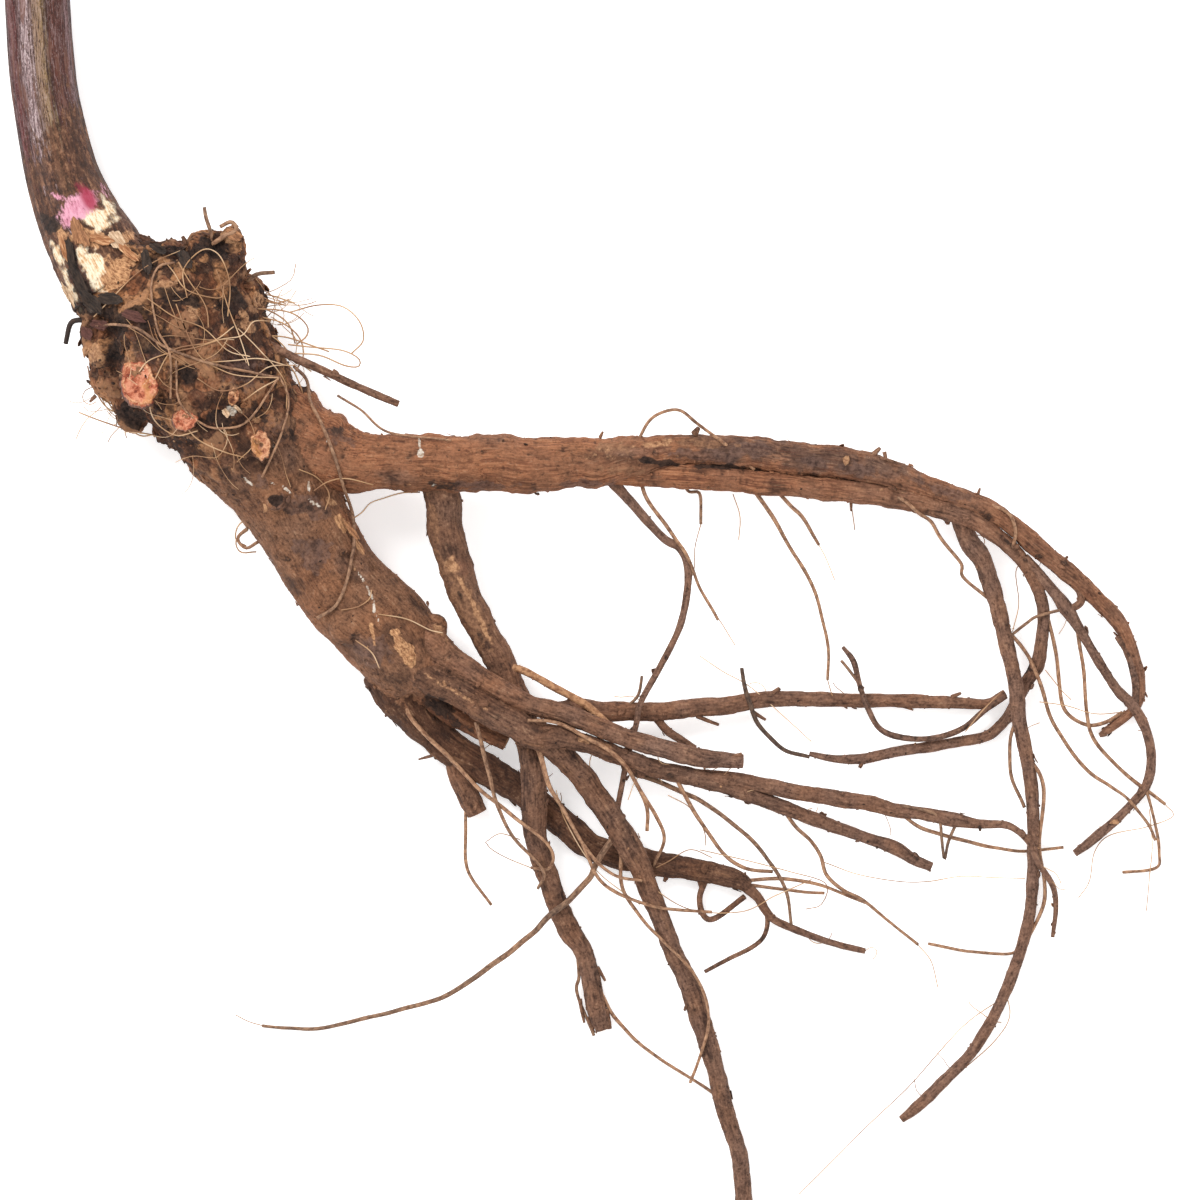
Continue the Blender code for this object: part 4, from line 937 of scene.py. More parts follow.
def add_rootlet(skin, route, tan, seed, sides, step):
    """One thin rootlet or hair."""
    tube = Tube(route, step, sides, None, FINE_WOBBLE, seed)
    drift = grain(tube.points / MM / 6, 51) * 0.3
    masks = {"tan": np.clip(tan + drift, 0, 1), "gloom": np.full(len(tube.points), max(-tan, 0.0))}
    skin.add(tube.points, tube.faces, masks, tube.local)


# The rootstock's body: one remeshed skin round the rhizome, its knobs and the bases of the thick roots

# How many of each root's first points the body takes in.
BODY_ROOTS = {
    "upper_root": 6, "middle_root": 3, "front_root": 4, "front_fork": 6, "under_root": 4, "hidden_root": 4,
    "broken_stub": 2, "long_root": 3,
}
BODY_VOXEL = 0.44 * MM
SOURCE_STEP, SOURCE_SIDES = 6.0, 40     # plan units between rings of the tubes it is remeshed from
NEAREST_STEP = 3.0                      # plan units between the places that a point is matched to
BLOCK = 4000                            # points matched at a time, which bounds the memory
CROWN_END = 0.34                        # share of the rhizome's length where its rough crusted crown ends


def body_routes():
    """Routes that the body takes in, with the root bases tapering into the roots' own meshes."""
    routes = {"rhizome": RHIZOME}
    for name, count in BODY_ROOTS.items():
        start = np.array(WOODY_ROOTS[name][:count], float)
        start[:, 3] += np.linspace(1.0, -2.0, count)
        routes[name] = start
    return routes


def body_source():
    """Overlapping tubes and balls that the body is remeshed from."""
    skin = Skin()
    for route in list(body_routes().values()) + list(STUBS.values()):
        tube = Tube(route, SOURCE_STEP, SOURCE_SIDES)
        skin.add(tube.points, tube.faces, {}, tube.local)
    obj = skin.piece("rootstock_body", bpy.data.materials.new("unused"))
    balls = []
    for right, down, height, radius in KNOBS:
        middle = place([(right, down, height)])[0]
        bpy.ops.mesh.primitive_ico_sphere_add(subdivisions=4, radius=radius * UNIT, location=middle)
        balls.append(bpy.context.object)
    bpy.ops.object.select_all(action="DESELECT")
    for ball in balls + [obj]:
        ball.select_set(True)
    bpy.context.view_layer.objects.active = obj
    bpy.ops.object.join()
    remesh = obj.modifiers.new("one_skin", "REMESH")
    remesh.mode = "VOXEL"
    remesh.voxel_size = BODY_VOXEL
    relax = obj.modifiers.new("relax", "SMOOTH")
    relax.iterations = 6
    relax.factor = 0.5
    graph = bpy.context.evaluated_depsgraph_get()
    mesh = bpy.data.meshes.new_from_object(obj.evaluated_get(graph))
    bpy.data.objects.remove(obj)
    return mesh


def route_length(route):
    return np.linalg.norm(np.diff(np.array(route, float)[:, :3], axis=0), axis=1).sum()


def nearest_on_routes(places, routes):
    """For each place: the nearest route's number, the place on it in mm, its share and the radius there."""
    columns = []
    for number, route in enumerate(routes.values()):
        run = smooth_run(route, NEAREST_STEP)
        spots = place(run)
        frames = np.stack(frames_along(spots), axis=1)
        length = lengths_along(spots)
        numbers = np.full(len(run), number)
        columns.append((spots, frames, length, length / length[-1], run[:, 3] * UNIT, numbers))
    centres, frames, lengths, shares, radii, numbers = map(np.concatenate, zip(*columns))
    best = np.empty(len(places), int)
    for start in range(0, len(places), BLOCK):
        block = places[start:start + BLOCK]
        far = np.linalg.norm(block[:, None] - centres[None], axis=2) / radii
        best[start:start + BLOCK] = far.argmin(axis=1)
    local = np.einsum("nij,nj->ni", frames[best], places - centres[best])
    local[:, 0] += lengths[best]
    return numbers[best], local / MM, shares[best], radii[best]


def read_vectors(collection, field):
    values = np.empty(len(collection) * 3, np.float32)
    collection.foreach_get(field, values)
    return values.reshape(-1, 3).astype(float)


def make_body(material):
    """The rootstock's body with its relief and masks, and what the small things on it need."""
    mesh = body_source()
    points = read_vectors(mesh.vertices, "co")
    normals = read_vectors(mesh.vertex_normals, "vector")
    routes = body_routes()
    number, local, share, radius = nearest_on_routes(points, routes)
    names = list(routes)
    seeds = np.array([0] + [WOODY_SEEDS[name] for name in names[1:]])
    local[:, 2] += seeds[number] * NOISE_GAP
    on_rhizome = number == 0
    rough = np.where(on_rhizome, 1 - 0.85 * soft_step(CROWN_END, 0.52, share), 0.0)
    rise = np.where(on_rhizome, crown_relief(points / MM, rough), root_relief(local, radius / MM))
    plan = plan_of(points)
    dent = np.zeros(len(points))
    for right, down, size, depth in DENTS:
        off = np.hypot(plan[:, 0] - right, plan[:, 1] - down) / size
        dent += depth * soft_step(1.2, 0.2, off) * (normals[:, 2] > -0.1)
    points += normals * ((rise - dent) * MM)[:, None]
    points[:, 2] = np.maximum(points[:, 2], 0.0)
    masks = {name: np.zeros(len(points)) for name in MASKS}
    for index, name in enumerate(names):
        here = number == index
        whole = route_length(routes[name]) / route_length(WOODY_ROOTS.get(name, RHIZOME))
        lift = rise[here] * (0.5 if index == 0 else 1)
        part = tone_masks(name, share[here] * whole, points[here], normals[here], lift)
        for mask in MASKS:
            masks[mask][here] = part[mask]
    masks["crust"] = np.where(on_rhizome, 1 - soft_step(CROWN_END, 0.5, share), 0.0)
    # The dents sit lower in the high mask, so the bark paints shade into them.
    masks["high"] -= dent * 0.3
    mesh.vertices.foreach_set("co", points.astype(np.float32).ravel())
    write_masks(mesh, np.column_stack([masks[name] for name in MASKS]), local)
    mesh.materials.clear()
    TOP.add(points)
    return finished("rootstock_body", mesh, material), points, normals, rough, masks


# Small things on the bark

def disc(rings, sides):
    """A closed disc: each vertex's radius, angle and layer, 1 for upper and 0 for lower, and the faces."""
    share = np.linspace(0, 1, rings + 1)[1:]
    angle = np.arange(sides) * 2 * math.pi / sides
    one_radius = np.concatenate([[0.0], np.repeat(share, sides)])
    one_angle = np.concatenate([[0.0], np.tile(angle, rings)])
    count = len(one_radius)
    faces = []
    for layer in (0, 1):
        start = layer * count
        for side in range(sides):
            after = (side + 1) % sides
            fan = [start, start + 1 + side, start + 1 + after]
            faces.append(fan if layer == 0 else fan[::-1])
            for ring in range(rings - 1):
                here, there = start + 1 + ring * sides, start + 1 + (ring + 1) * sides
                quad = [here + side, there + side, there + after, here + after]
                faces.append(quad if layer == 0 else quad[::-1])
    rim, under = 1 + (rings - 1) * sides, count + 1 + (rings - 1) * sides
    for side in range(sides):
        after = (side + 1) % sides
        faces.append([rim + side, under + side, under + after, rim + after])
    layer = np.repeat([1.0, 0.0], count)
    return np.tile(one_radius, 2), np.tile(one_angle, 2), layer, faces


def turned_over(faces):
    """The faces in the other order, for vertices laid out on the plan, whose down is the world's -Y."""
    return [face[::-1] for face in faces]


def spread(right, down, half_length, half_width, turn, radius, angle, edge):
    """A disc's vertices laid out: along it and across it, then right and down on the plan."""
    turn = math.radians(turn)
    along = np.cos(angle) * radius * edge * half_length
    across = np.sin(angle) * radius * edge * half_width
    plan_right = right + along * math.cos(turn) - across * math.sin(turn)
    plan_down = down + along * math.sin(turn) + across * math.cos(turn)
    return along, across, plan_right, plan_down


def wheel(angle, size, third):
    """Places on a circle to draw noise at, so that the noise closes on itself."""
    third = np.broadcast_to(third, angle.shape)
    return np.column_stack([np.cos(angle) * size, np.sin(angle) * size, third])


SCAR_RINGS, SCAR_SIDES = 24, 66
SCALE_RINGS, SCALE_SIDES = 9, 40
FLAKE_RINGS, FLAKE_SIDES = 2, 7
SCAR_RING = np.array([(math.cos(a), math.sin(a)) for a in np.arange(8) * math.pi / 4])


def add_peel(skin, number, right, down, half_length, half_width, turn, curl, tone):
    """A thin papery scale that lies on the skin, its ragged edge curling up."""
    radius, angle, layer, faces = disc(SCALE_RINGS, SCALE_SIDES)
    around = wheel(angle, 1.6, number * 5.3)
    torn = grain(around * (0.5, 6, 1), 75) * np.abs(np.cos(angle))
    edge = 1 + 0.24 * layered(around, 3, 71) + 0.22 * torn
    along, across, x, y = spread(right, down, half_length, half_width, turn, radius, angle, edge)
    crease = layered(np.column_stack([along / 14, across / 1.8, np.full(len(x), number)]), 2, 73)
    rest = TOP.at(np.column_stack([x, y]), 2)
    middle = TOP.at(np.array([(right, down)]), 2)[0]
    rest = np.where(rest < BARE_FLOOR, middle, rest) * 0.6 + middle * 0.4
    high = np.maximum(rest, TOP.at(np.column_stack([x, y]), 1)) + 0.4 + layer * 0.9
    high += curl * 1.6 * radius ** 3 * (0.6 + 0.4 * np.cos(angle)) + 0.6 * crease
    points = place(np.column_stack([x, y, high]))
    points[:, 2] = np.maximum(points[:, 2], 0.3 * MM)
    local = np.column_stack([along * UNIT / MM, across * UNIT / MM, np.full(len(x), number * 7.0)])
    masks = {tone: np.full(len(x), 1.0), "high": 0.5 + 0.3 * crease}
    skin.add(points, turned_over(faces), masks, local)


def add_scar(skin, number, right, down, half_length, half_width, turn, tilt, flesh):
    """The fibrous round face left by an old stem, with a raised rim."""
    radius, angle, layer, faces = disc(SCAR_RINGS, SCAR_SIDES)
    edge = 1 + 0.17 * layered(wheel(angle, 1.7, number * 3.1), 3, 81)
    along, across, x, y = spread(right, down, half_length, half_width, turn, radius, angle, edge)
    ring = (right, down) + SCAR_RING * half_width * 0.6
    middle = np.median(TOP.at(ring, 1))
    threads = grain(wheel(angle + 1.6 * radius, 7, radius * 1.5 + number), 83)
    rings = grain(wheel(angle, 1, radius * 7 + number), 85)
    crumb = layered(np.column_stack([x / 3.0, y / 3.0, np.full(len(x), number)]), 2, 87)
    rim = np.exp(-((radius - 0.8) / 0.13) ** 2)
    relief = 0.9 * rim - 1.6 * (1 - radius) ** 2 + 0.8 * threads * radius + 0.9 * rings + 1.3 * crumb
    drop = 8.0 * soft_step(0.86, 1.0, radius)
    high = middle + 1.8 + tilt * (x - right) + relief - drop
    high = np.where(layer > 0, high, middle - 8 + tilt * (x - right))
    points = place(np.column_stack([x, y, high]))
    core = np.exp(-(radius / 0.22) ** 2)
    masks = {
        "warm": np.full(len(x), 1 - flesh), "pink": np.full(len(x), flesh),
        "chalk": np.clip(0.75 * soft_step(0.3, 0.7, threads) * (radius < 0.7) * flesh, 0, 1),
        "tan": np.clip(rim * (0.75 + 0.5 * rings), 0, 1) * 0.7,
        "gloom": np.clip(soft_step(0.82, 1.0, radius + 0.1 * crumb) + 0.7 * (flesh < 0.5) * core, 0, 1),
        "high": 0.56 + (relief + 1.3 * (1 - radius) ** 2) * 0.2,
    }
    local = np.column_stack([x * UNIT / MM, y * UNIT / MM, np.full(len(x), number)])
    skin.add(points, turned_over(faces), masks, local)


def ball_ring(turn, height):
    """One of the two rings of five corners of a ball with 12 corners and 20 faces."""
    angles = [k * 1.2566 + turn for k in range(5)]
    return [(0.894 * math.cos(angle), 0.894 * math.sin(angle), height) for angle in angles]


ROUND_CORNERS = np.array([(0, 0, 1.0), *ball_ring(0.0, 0.447), *ball_ring(0.6283, -0.447), (0, 0, -1.0)])
NEXT = ((0, 1), (1, 2), (2, 3), (3, 4), (4, 0))     # each corner of a ring and the one after it
ROUND_FACES = np.array([(0, 1 + k, 1 + after) for k, after in NEXT]
                       + [(1 + k, 6 + k, 1 + after) for k, after in NEXT]
                       + [(1 + after, 6 + k, 6 + after) for k, after in NEXT]
                       + [(11, 6 + after, 6 + k) for k, after in NEXT])


def side_directions(normals, draw):
    """Two directions in the skin for each normal, turned at random."""
    other = draw.normal(size=normals.shape)
    first = np.cross(normals, other)
    first /= np.linalg.norm(first, axis=1)[:, None] + 1e-9
    return first, np.cross(normals, first)


def scatter_crumbs(skin, places, normals, sizes, host, draw):
    """Crumbs of soil and bark, flattened on the skin and in its colours, one in five dark and a few tan."""
    first, second = side_directions(normals, draw)
    count, corners = len(places), len(ROUND_CORNERS)
    shape = draw.uniform(0.6, 1.25, (count, corners, 1)) * ROUND_CORNERS[None]
    scale = sizes[:, None] * draw.uniform((0.7, 0.7, 0.4), (1.5, 1.1, 0.9), (count, 3))
    shape = shape * scale[:, None]
    points = (places[:, None] + first[:, None] * shape[..., :1] + second[:, None] * shape[..., 1:2]
              + normals[:, None] * (shape[..., 2:] + sizes[:, None, None] * 0.15)).reshape(-1, 3)
    points[:, 2] = np.maximum(points[:, 2], 0.0)
    faces = (ROUND_FACES[None] + np.arange(count)[:, None, None] * corners).reshape(-1, 3)
    tone = np.repeat(draw.uniform(0, 1, count), corners)
    masks = {name: np.repeat(values, corners) for name, values in host.items()}
    raise_mask(masks, "gloom", (tone < 0.22) * 0.6)
    masks["tan"] = np.maximum(masks["tan"] * 0.7, (tone > 0.965) * 0.8)
    masks["high"] = 0.45 + 0.3 * tone
    skin.add(points, faces, masks, points / MM)


FLAKE_GAP, FLAKE_THICKNESS = 0.00005, 0.00014       # metres


def scatter_flakes(skin, places, normals, sizes, host, draw):
    """Small thin flakes of bark that stand a little off the skin at one side."""
    radius, angle, layer, faces = disc(FLAKE_RINGS, FLAKE_SIDES)
    first, second = side_directions(normals, draw)
    for number, (spot, normal, one, two, size) in enumerate(zip(places, normals, first, second, sizes)):
        edge = draw.uniform(0.7, 1.3, FLAKE_SIDES)
        edge = np.concatenate([[1.0], np.tile(edge, FLAKE_RINGS)] * 2)
        along = np.cos(angle) * radius * edge * size
        across = np.sin(angle) * radius * edge * size * draw.uniform(0.4, 0.8)
        lift = draw.uniform(0.1, 0.5) * np.maximum(along + size * 0.3, 0)
        rise = FLAKE_GAP + layer * FLAKE_THICKNESS + lift
        points = spot + one * along[:, None] + two * across[:, None] + normal * rise[:, None]
        points[:, 2] = np.maximum(points[:, 2], 0.0)
        tone = draw.uniform()
        masks = {name: np.full(len(points), values[number]) for name, values in host.items()}
        raise_mask(masks, "gloom", 0.55 * (tone < 0.25))
        raise_mask(masks, "tan", 0.8 * (tone > 0.95))
        # The rim reads higher, so it takes the bark's painted highlight.
        masks["high"] = 0.5 + 0.3 * radius
        skin.add(points, faces, masks, points / MM)


WANDER_STEP = 6         # plan units


def wandering(start, heading, length, turn, draw):
    """A seeded hair's path over the plan."""
    path = [start]
    bend = draw.normal() * turn
    for _ in range(int(length / WANDER_STEP)):
        bend = 0.75 * bend + draw.normal() * turn
        heading += bend
        right, down = path[-1]
        path.append((right + WANDER_STEP * math.cos(heading), down + WANDER_STEP * math.sin(heading)))
    return path


# Materials

class Look:
    """A Principled material with short ways to add nodes."""

    def __init__(self, name, roughness, specular):
        self.material = bpy.data.materials.new(name)
        self.material.use_nodes = True
        self.nodes = self.material.node_tree.nodes
        self.links = self.material.node_tree.links
        self.shader = self.nodes["Principled BSDF"]
        self.shader.inputs["Roughness"].default_value = roughness
        self.shader.inputs["Specular IOR Level"].default_value = specular

    def put(self, socket, value):
        if isinstance(value, bpy.types.NodeSocket):
            self.links.new(value, socket)
        elif isinstance(value, tuple) and len(value) == 3 and socket.type == "RGBA":
            socket.default_value = (*value, 1)
        else:
            socket.default_value = value

    def add(self, kind, inputs, **settings):
        """A new node with its settings, and its inputs by name or number."""
        node = self.nodes.new("ShaderNode" + kind)
        for name, value in settings.items():
            setattr(node, name, value)
        for socket, value in inputs.items():
            self.put(node.inputs[socket], value)
        return node

    def mask(self, name):
        return self.add("Attribute", {}, attribute_name=name).outputs["Fac"]

    def place(self):
        return self.add("TexCoord", {}).outputs["Object"]

    def noise(self, vector, scale, detail, roughness, warp=0.0):
        inputs = {
            "Vector": vector, "Scale": scale, "Detail": detail, "Roughness": roughness, "Distortion": warp,
        }
        return self.add("TexNoise", inputs).outputs["Fac"]

    def speckle(self, *numbers):
        """Noise that is the same in all directions."""
        return self.noise(self.place(), *numbers)

    def strands(self, along, *numbers, across=1.0):
        """Noise that runs with the grain, finer across the root than along it."""
        fibre = self.add("Attribute", {}, attribute_name="fibre").outputs["Vector"]
        scaled = self.add("VectorMath", {0: fibre, 1: (along, across, 1.0)}, operation="MULTIPLY")
        return self.noise(scaled.outputs[0], *numbers)

    def calc(self, operation, first, second=0.0, clamp=False):
        return self.add("Math", {0: first, 1: second}, operation=operation, use_clamp=clamp).outputs[0]

    def times(self, first, second):
        return self.calc("MULTIPLY", first, second)

    def plus(self, first, second, clamp=False):
        return self.calc("ADD", first, second, clamp)

    def around(self, value, strength):
        """A noise value moved to lie round 0, times a strength."""
        return self.times(self.calc("SUBTRACT", value, 0.5), strength)

    def between(self, value, low, high):
        """0 at low, 1 at high, smooth in between."""
        inputs = {"Value": value, "From Min": low, "From Max": high}
        return self.add("MapRange", inputs, interpolation_type="SMOOTHSTEP").outputs["Result"]

    def clods(self, scale, stray):
        """Broken clods: a tone of its own for each, and how far a place lies from the clod's edge."""
        wander = self.add("TexNoise", {"Scale": scale * 1.2, "Vector": self.place()}).outputs["Color"]
        inputs = {0: wander, 1: (stray, stray, stray), 2: self.place()}
        moved = self.add("VectorMath", inputs, operation="MULTIPLY_ADD").outputs[0]
        inputs = {"Scale": scale, "Vector": moved}
        tone = self.add("TexVoronoi", inputs, feature="F1").outputs["Color"]
        return tone, self.add("TexVoronoi", inputs, feature="DISTANCE_TO_EDGE").outputs["Distance"]

    def ramp(self, value, *stops):
        node = self.add("ValToRGB", {"Fac": value})
        elements = node.color_ramp.elements
        while len(elements) < len(stops):
            elements.new(0.5)
        for element, (at, colour) in zip(elements, stops):
            element.position = at
            element.color = (*colour, 1)
        return node.outputs["Color"]

    def tones(self, value, *stops):
        """A ramp through screen colours."""
        return self.ramp(value, *((at, srgb(*shade)) for at, *shade in stops))

    def mix(self, share, first, second, mode="MIX"):
        inputs = {"Factor": share, 6: first, 7: second}
        return self.add("Mix", inputs, data_type="RGBA", blend_type=mode).outputs[2]

    def lay(self, colour, share, cover, shade):
        """A screen colour over a colour, covering it by cover where share is 1."""
        return self.mix(self.times(share, cover), colour, srgb(*shade))

    def bump(self, height, distance, strength):
        inputs = {"Strength": strength, "Distance": distance, "Height": height}
        return self.add("Bump", inputs).outputs["Normal"]

    def done(self, colour, normal=None):
        self.put(self.shader.inputs["Base Color"], colour)
        if normal is not None:
            self.put(self.shader.inputs["Normal"], normal)
        return self.material


# The coloured places' darker and lighter tone, and how much they cover what lies under them.
PLACE_TONES = (
    ("plum", (62, 46, 42), (112, 86, 76), 0.6), ("brown", (106, 74, 55), (150, 110, 82), 0.75),
    ("tan", (138, 98, 70), (192, 146, 108), 0.8), ("peel", (124, 80, 53), (216, 165, 120), 0.95),
    ("cream", (196, 148, 104), (240, 226, 200), 0.95), ("gloom", (18, 14, 14), (58, 43, 36), 0.9),
    ("chalk", (166, 146, 126), (230, 220, 206), 0.8),
)
CREAM_MIDDLE = (226, 192, 150)


def overlays(look, colour, ragged):
    """Lays the coloured places over a base colour, their edges broken by fine noise."""
    grainy = look.speckle(1100, 3, 0.65)
    broken = look.around(look.plus(look.times(ragged, 0.6), look.times(grainy, 0.4)), 1.9)
    strands = look.strands(0.16, 2.6, 5, 0.7)
    stranded = look.plus(look.times(strands, 0.75), look.times(grainy, 0.25))
    for name, dark, light, cover in PLACE_TONES:
        if name == "cream":
            edge = look.between(look.plus(look.mask(name), look.times(broken, 0.9)), 0.25, 0.85)
            own = look.tones(stranded, (0.40, *dark), (0.46, *CREAM_MIDDLE), (0.53, *light))
        else:
            edge = look.between(look.plus(look.mask(name), broken), 0.34, 0.66)
            own = look.tones(stranded if name == "peel" else grainy, (0.4, *dark), (0.6, *light))
        colour = look.mix(look.times(edge, cover), colour, own)
    return colour


def blush(look, colour, ragged):
    """The pink living skin at the stem's foot, crimson towards one side."""
    along = look.strands(0.3, 2.2, 5, 0.7)
    ragged = look.plus(look.times(ragged, 0.4), look.times(along, 0.6))
    close = look.between(look.mask("pink"), 0.0, 0.25)
    edge = look.times(look.around(ragged, 3.2), close)
    pink = look.between(look.plus(look.mask("pink"), edge), 0.15, 0.7)
    tint = look.tones(ragged, (0.38, 184, 106, 128), (0.58, 222, 162, 180))
    colour = look.mix(pink, colour, tint)
    deep = look.between(look.plus(look.mask("crimson"), look.around(ragged, 1.3)), 0.1, 0.85)
    return look.lay(colour, deep, 0.92, (160, 50, 74))


def bark_look():
    """The bark: a tone for each root, fibres, grit, the crown's clods of soil, cracks, painted shade in the
    relief's hollows and under other roots, and a painted highlight on the relief's crests.
    """
    look = Look("root_bark", 0.85, 0.2)
    fibre = look.strands(0.22, 1.9, 5, 0.62)
    streak = look.strands(0.06, 4.2, 3, 0.6)
    mottle = look.speckle(400, 6, 0.7, 0.2)
    speck = look.speckle(1900, 3, 0.7)
    pit = look.speckle(1100, 2, 0.6)
    blotch = look.speckle(100, 3, 0.5)
    mixed = look.plus(look.times(fibre, 0.36), look.times(mottle, 0.32))
    mixed = look.plus(mixed, look.times(speck, 0.32))
    warm = look.plus(look.mask("warm"), look.around(blotch, 0.9), True)
    tone = look.mix(warm, srgb(130, 91, 66), srgb(155, 101, 70))
    ash = look.plus(look.mask("ash"), look.around(blotch, -1.0), True)
    tone = look.mix(ash, tone, srgb(127, 97, 82))
    # Painted shade: the roots under others, the groove and the hollows darkened towards a deep brown.
    tone = look.lay(tone, look.mask("painted_shade"), 0.9, (72, 47, 35))
    patchy = look.ramp(mottle, (0.42, (1, 1, 1)), (0.56, (0.25, 0.25, 0.25)))
    crust = look.times(look.mask("crust"), patchy)
    tone = look.lay(tone, crust, 0.85, (84, 58, 47))
    rusty = look.times(look.mask("crust"), look.between(blotch, 0.50, 0.62))
    tone = look.lay(tone, rusty, 0.65, (156, 95, 56))
    clod, gap = look.clods(300, 0.004)
    clod = look.tones(
        clod, (0.28, 48, 30, 24), (0.40, 84, 52, 38), (0.50, 116, 72, 49), (0.62, 146, 92, 60),
        (0.76, 180, 128, 86))
    tone = look.mix(look.times(look.mask("crust"), 0.65), tone, clod)
    shade = look.ramp(
        mixed, (0.39, (0.26, 0.24, 0.24)), (0.45, (0.54, 0.52, 0.52)), (0.50, (0.84, 0.83, 0.83)),
        (0.55, (1.06, 1.05, 1.04)))
    colour = look.mix(look.plus(1.0, look.times(look.mask("warm"), -0.5)), tone, shade, "MULTIPLY")
    dusty = look.between(mixed, 0.54, 0.62)
    colour = look.lay(colour, dusty, 0.42, (172, 138, 110))
    gap = look.times(look.between(gap, 0.10, 0.01), look.mask("crust"))
    colour = look.lay(colour, gap, 0.6, (34, 24, 20))
    colour = look.lay(colour, look.between(pit, 0.37, 0.30), 0.55, (52, 35, 28))
    # Painted shade in the hollows of the relief.
    low = look.between(look.mask("high"), 0.50, 0.1)
    colour = look.lay(colour, low, 0.75, (40, 26, 22))
    # Painted highlight on the crests of the relief.
    crest = look.between(look.mask("high"), 0.64, 0.95)
    lit = look.plus(look.times(look.mask("crust"), 0.25), 0.25)
    colour = look.lay(colour, crest, lit, (172, 126, 92))
    pale = look.plus(look.times(look.mask("warm"), 0.8), 0.2)
    streaked = look.times(look.between(streak, 0.60, 0.72), pale)
    colour = look.lay(colour, streaked, 0.3, (176, 146, 118))
    furrowed = look.times(look.between(streak, 0.43, 0.35), look.mask("warm"))
    colour = look.lay(colour, furrowed, 0.75, (80, 48, 36))
    cord = look.strands(0.02, 2.6, 3, 0.55)
    corded = look.times(look.mask("warm"), look.between(blotch, 0.40, 0.60))
    groove = look.times(look.between(cord, 0.46, 0.40), corded)
    colour = look.lay(colour, groove, 0.8, (92, 54, 40))
    ridge = look.times(look.between(cord, 0.54, 0.62), corded)
    colour = look.lay(colour, ridge, 0.4, (186, 132, 98))
    colour = overlays(look, colour, look.speckle(480, 5, 0.68))
    return look.done(colour, look.bump(mixed, 0.0011, 0.9))


def scar_look():
    """The fibrous faces of old stem scars, dry and brown or pink and fleshy."""
    look = Look("stem_scar", 0.7, 0.3)
    threads = look.speckle(620, 6, 0.7)
    fine = look.speckle(1500, 3, 0.65)
    wide = look.speckle(300, 3, 0.6)
    colour = look.tones(threads, (0.39, 86, 52, 36), (0.49, 150, 100, 70), (0.58, 204, 158, 120))
    flesh = look.tones(threads, (0.39, 112, 50, 34), (0.48, 170, 92, 64), (0.58, 204, 136, 106))
    colour = look.mix(look.mask("pink"), colour, flesh)
    colour = look.lay(colour, look.between(wide, 0.54, 0.64), 0.55, (196, 140, 86))
    # Painted shade in the low parts of the scar's face.
    low = look.between(look.mask("high"), 0.50, 0.15)
    colour = look.lay(colour, low, 0.8, (96, 48, 36))
    layers = (
        ("tan", (150, 92, 60), (218, 168, 128)), ("chalk", (206, 160, 130), (240, 220, 198)),
        ("gloom", (34, 25, 22), (84, 56, 42)),
    )
    for name, dark, light in layers:
        edge = look.between(look.plus(look.mask(name), look.around(threads, 1.9)), 0.36, 0.7)
        own = look.tones(fine, (0.4, *dark), (0.6, *light))
        colour = look.mix(look.times(edge, 0.85), colour, own)
    return look.done(colour, look.bump(threads, 0.0007, 0.6))


def paper_look():
    """Dry papery scales, streaked orange, brown and cream along their fibres."""
    look = Look("papery_scale", 0.7, 0.25)
    fibre = look.strands(0.3, 1.6, 5, 0.7, across=1.8)
    fine = look.strands(0.15, 4.0, 4, 0.65, across=2.5)
    mixed = look.plus(look.times(fibre, 0.6), look.times(fine, 0.4))
    colour = look.tones(
        mixed, (0.36, 98, 58, 36), (0.47, 160, 106, 70), (0.56, 194, 144, 104), (0.66, 236, 204, 160))
    layers = (
        ("tan", (92, 58, 40), (190, 136, 96)), ("cream", (160, 120, 88), (228, 200, 168)),
        ("gloom", (22, 20, 20), (74, 58, 48)), ("plum", (58, 36, 34), (112, 72, 62)),
    )
    for name, dark, light in layers:
        colour = look.mix(look.mask(name), colour, look.tones(mixed, (0.38, *dark), (0.6, *light)))
    return look.done(colour, look.bump(mixed, 0.0006, 0.7))


def rootlet_look():
    """Rootlets, tan to dark, with fine dark specks."""
    look = Look("rootlet_bark", 0.7, 0.3)
    fibre = look.strands(0.5, 1.8, 4, 0.65)
    speck = look.speckle(900, 3, 0.6)
    dark = look.tones(fibre, (0.36, 58, 43, 36), (0.62, 118, 92, 74))
    tan = look.tones(fibre, (0.36, 124, 84, 60), (0.62, 190, 146, 112))
    colour = look.mix(look.mask("tan"), dark, tan)
    colour = look.lay(colour, look.mask("gloom"), 0.9, (44, 34, 31))
    colour = look.lay(colour, look.between(speck, 0.46, 0.36), 0.5, (74, 54, 42))
    return look.done(colour, look.bump(fibre, 0.0003, 0.5))


def hair_look():
    """Hairs, pale brown."""
    look = Look("root_hair", 0.6, 0.3)
    tint = look.speckle(70, 2, 0.5)
    return look.done(look.tones(tint, (0.38, 140, 100, 72), (0.5, 178, 138, 100), (0.62, 212, 180, 146)))


# The stem's colours from its left side to its right: lilac, olive and wine-red streaks.
STEM_TONES = (
    (0.02, 50, 30, 30), (0.08, 100, 44, 42), (0.17, 76, 42, 38), (0.23, 112, 90, 90), (0.32, 148, 124, 124),
    (0.41, 100, 76, 66), (0.47, 142, 114, 92), (0.56, 134, 108, 74), (0.63, 60, 38, 29), (0.72, 88, 48, 38),
    (0.87, 76, 40, 33), (0.93, 120, 94, 94), (0.98, 54, 35, 34),
)
LILAC_AT = 0.31         # where the lilac streak lies on that scale


